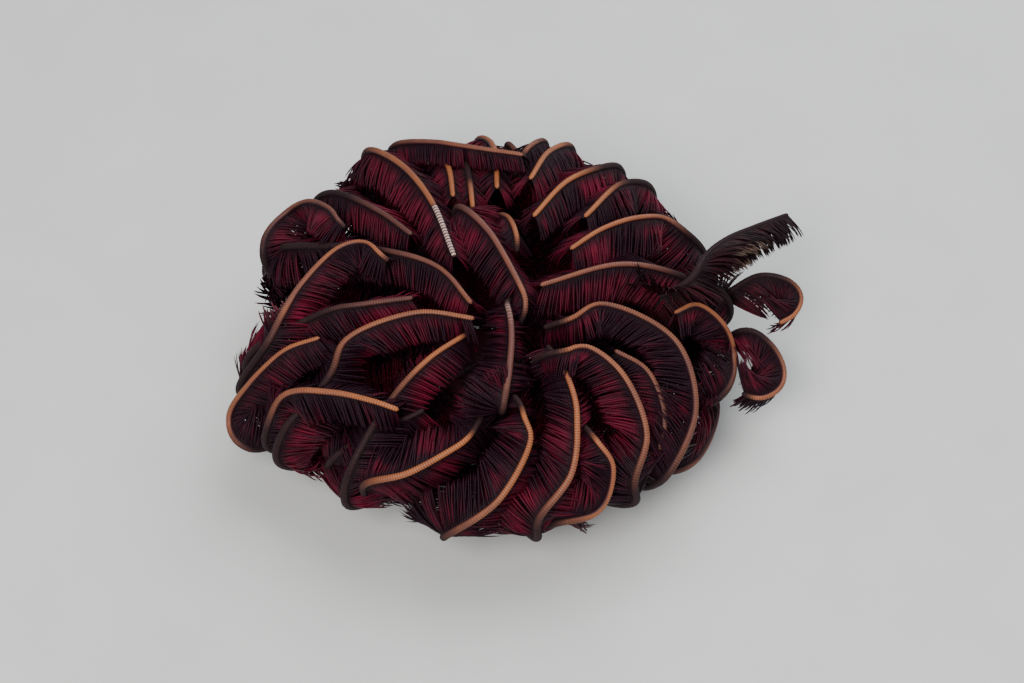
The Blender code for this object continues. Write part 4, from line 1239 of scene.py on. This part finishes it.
def disc_point(spot):
    x, y, high = spot
    far = math.hypot(x, y)
    rise = DISC_HIGH - DISC_LOW
    if high < 0:
        z = DISC_LOW + rise * DISC_RIM * (1 + high)
    else:
        z = DISC_LOW + rise * (DISC_RIM + (1 - DISC_RIM) * high ** 0.8)
    if high > 0:
        across = math.exp(-(math.sin(RAY_COUNT / 2 * math.atan2(y, x)) / GROOVE_WIDTH) ** 2)
        z -= GROOVE_DEPTH * across * math.exp(-((far - GROOVE_MIDDLE) / GROOVE_RUN) ** 4)
    if high >= 0:
        z += VENT_HEIGHT * math.exp(-((x - VENT_AT[0]) ** 2 + (y - VENT_AT[1]) ** 2) / VENT_SPREAD)
        z -= MOUTH_DEPTH * math.exp(-(far / MOUTH_RADIUS) ** 2)
    wide = DISC_RADIUS * DISC_INSET
    return (Vector((x * wide, y * wide, min(z, DISC_HIGH))) + Vector(CUP_PLACE)) * MM


def build_disc():
    bm = bmesh.new()
    made = bmesh.ops.create_uvsphere(bm, u_segments=80, v_segments=40, radius=1)["verts"]
    bake = bm.loops.layers.uv.new("OFBake")
    for vert in made:
        vert.co = disc_point(vert.co)
    for face in bm.faces:
        for loop in face.loops:
            co = loop.vert.co / MM - Vector(CUP_PLACE)
            loop[bake].uv = (DISC_MAP[0] + co.x * DISC_MAP[1], DISC_MAP[0] + co.y * DISC_MAP[1])
    finish_piece("disc_skin", bm, leather, ["disc"])


build_disc()

# %% [markdown]
# The stage is a wide, flat, pale floor, lit softly from above and in front, much as the animal was
# lit by the light beside the camera, with a dimmer light from behind to draw the ridges out of the
# dark fringes. Large area lamps keep the shadows soft.


# %% The floor
FLOOR_SIZE = 3
FLOOR_DARK = (0.62, 0.62, 0.61)
FLOOR_LIGHT = (0.70, 0.70, 0.69)


def build_floor():
    bm = bmesh.new()
    bmesh.ops.create_grid(bm, x_segments=1, y_segments=1, size=FLOOR_SIZE)
    mesh = bpy.data.meshes.new("floor")
    bm.to_mesh(mesh)
    bm.free()
    floor = bpy.data.objects.new("floor", mesh)
    bpy.context.scene.collection.objects.link(floor)
    material, shader, start, place = start_material("pale_floor", 0.85)
    fine = start.out("TexNoise", 0, Vector=place, Scale=30.0, Detail=3.0)
    feed(shader, "Base Color", fine.blend(FLOOR_DARK, FLOOR_LIGHT))
    mesh.materials.append(material)
    floor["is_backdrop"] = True


build_floor()


# %% The lights
def add_light(name, place, size, power, colour):
    light = bpy.data.lights.new(name, "AREA")
    light.size = size
    light.energy = power
    light.color = colour
    lamp = bpy.data.objects.new(name, light)
    lamp.location = place
    aim_at = Vector(BALL_MIDDLE * MM)
    lamp.rotation_euler = (aim_at - Vector(place)).to_track_quat("-Z", "Y").to_euler()
    bpy.context.scene.collection.objects.link(lamp)
    print(name, "light", power, "W")


add_light("key", (-0.25, -0.75, 0.95), 0.5, 14, (1.0, 0.98, 0.95))
add_light("top", (0.3, 0.25, 1.1), 0.9, 9, (0.96, 0.98, 1.0))
add_light("back", (0.5, 0.9, 0.5), 0.5, 4, (0.95, 0.97, 1.0))
world = bpy.data.worlds.new("studio")
bpy.context.scene.world = world
world.use_nodes = True
background = world.node_tree.nodes["Background"]
background.inputs["Color"].default_value = (0.9, 0.95, 1.0, 1)
background.inputs["Strength"].default_value = 0.35

# %% [markdown]
# A dressed model must not outgrow the solids it stands for. The last cell prints both boxes, so
# that they can be compared.

# %% The sizes, solid and dressed
dressed_box = [list(corner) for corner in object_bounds()]
for name, box in (("solids", solid_box), ("dressed", dressed_box)):
    print(name, [round(v * 1000, 1) for v in box[0]], [round(v * 1000, 1) for v in box[1]])
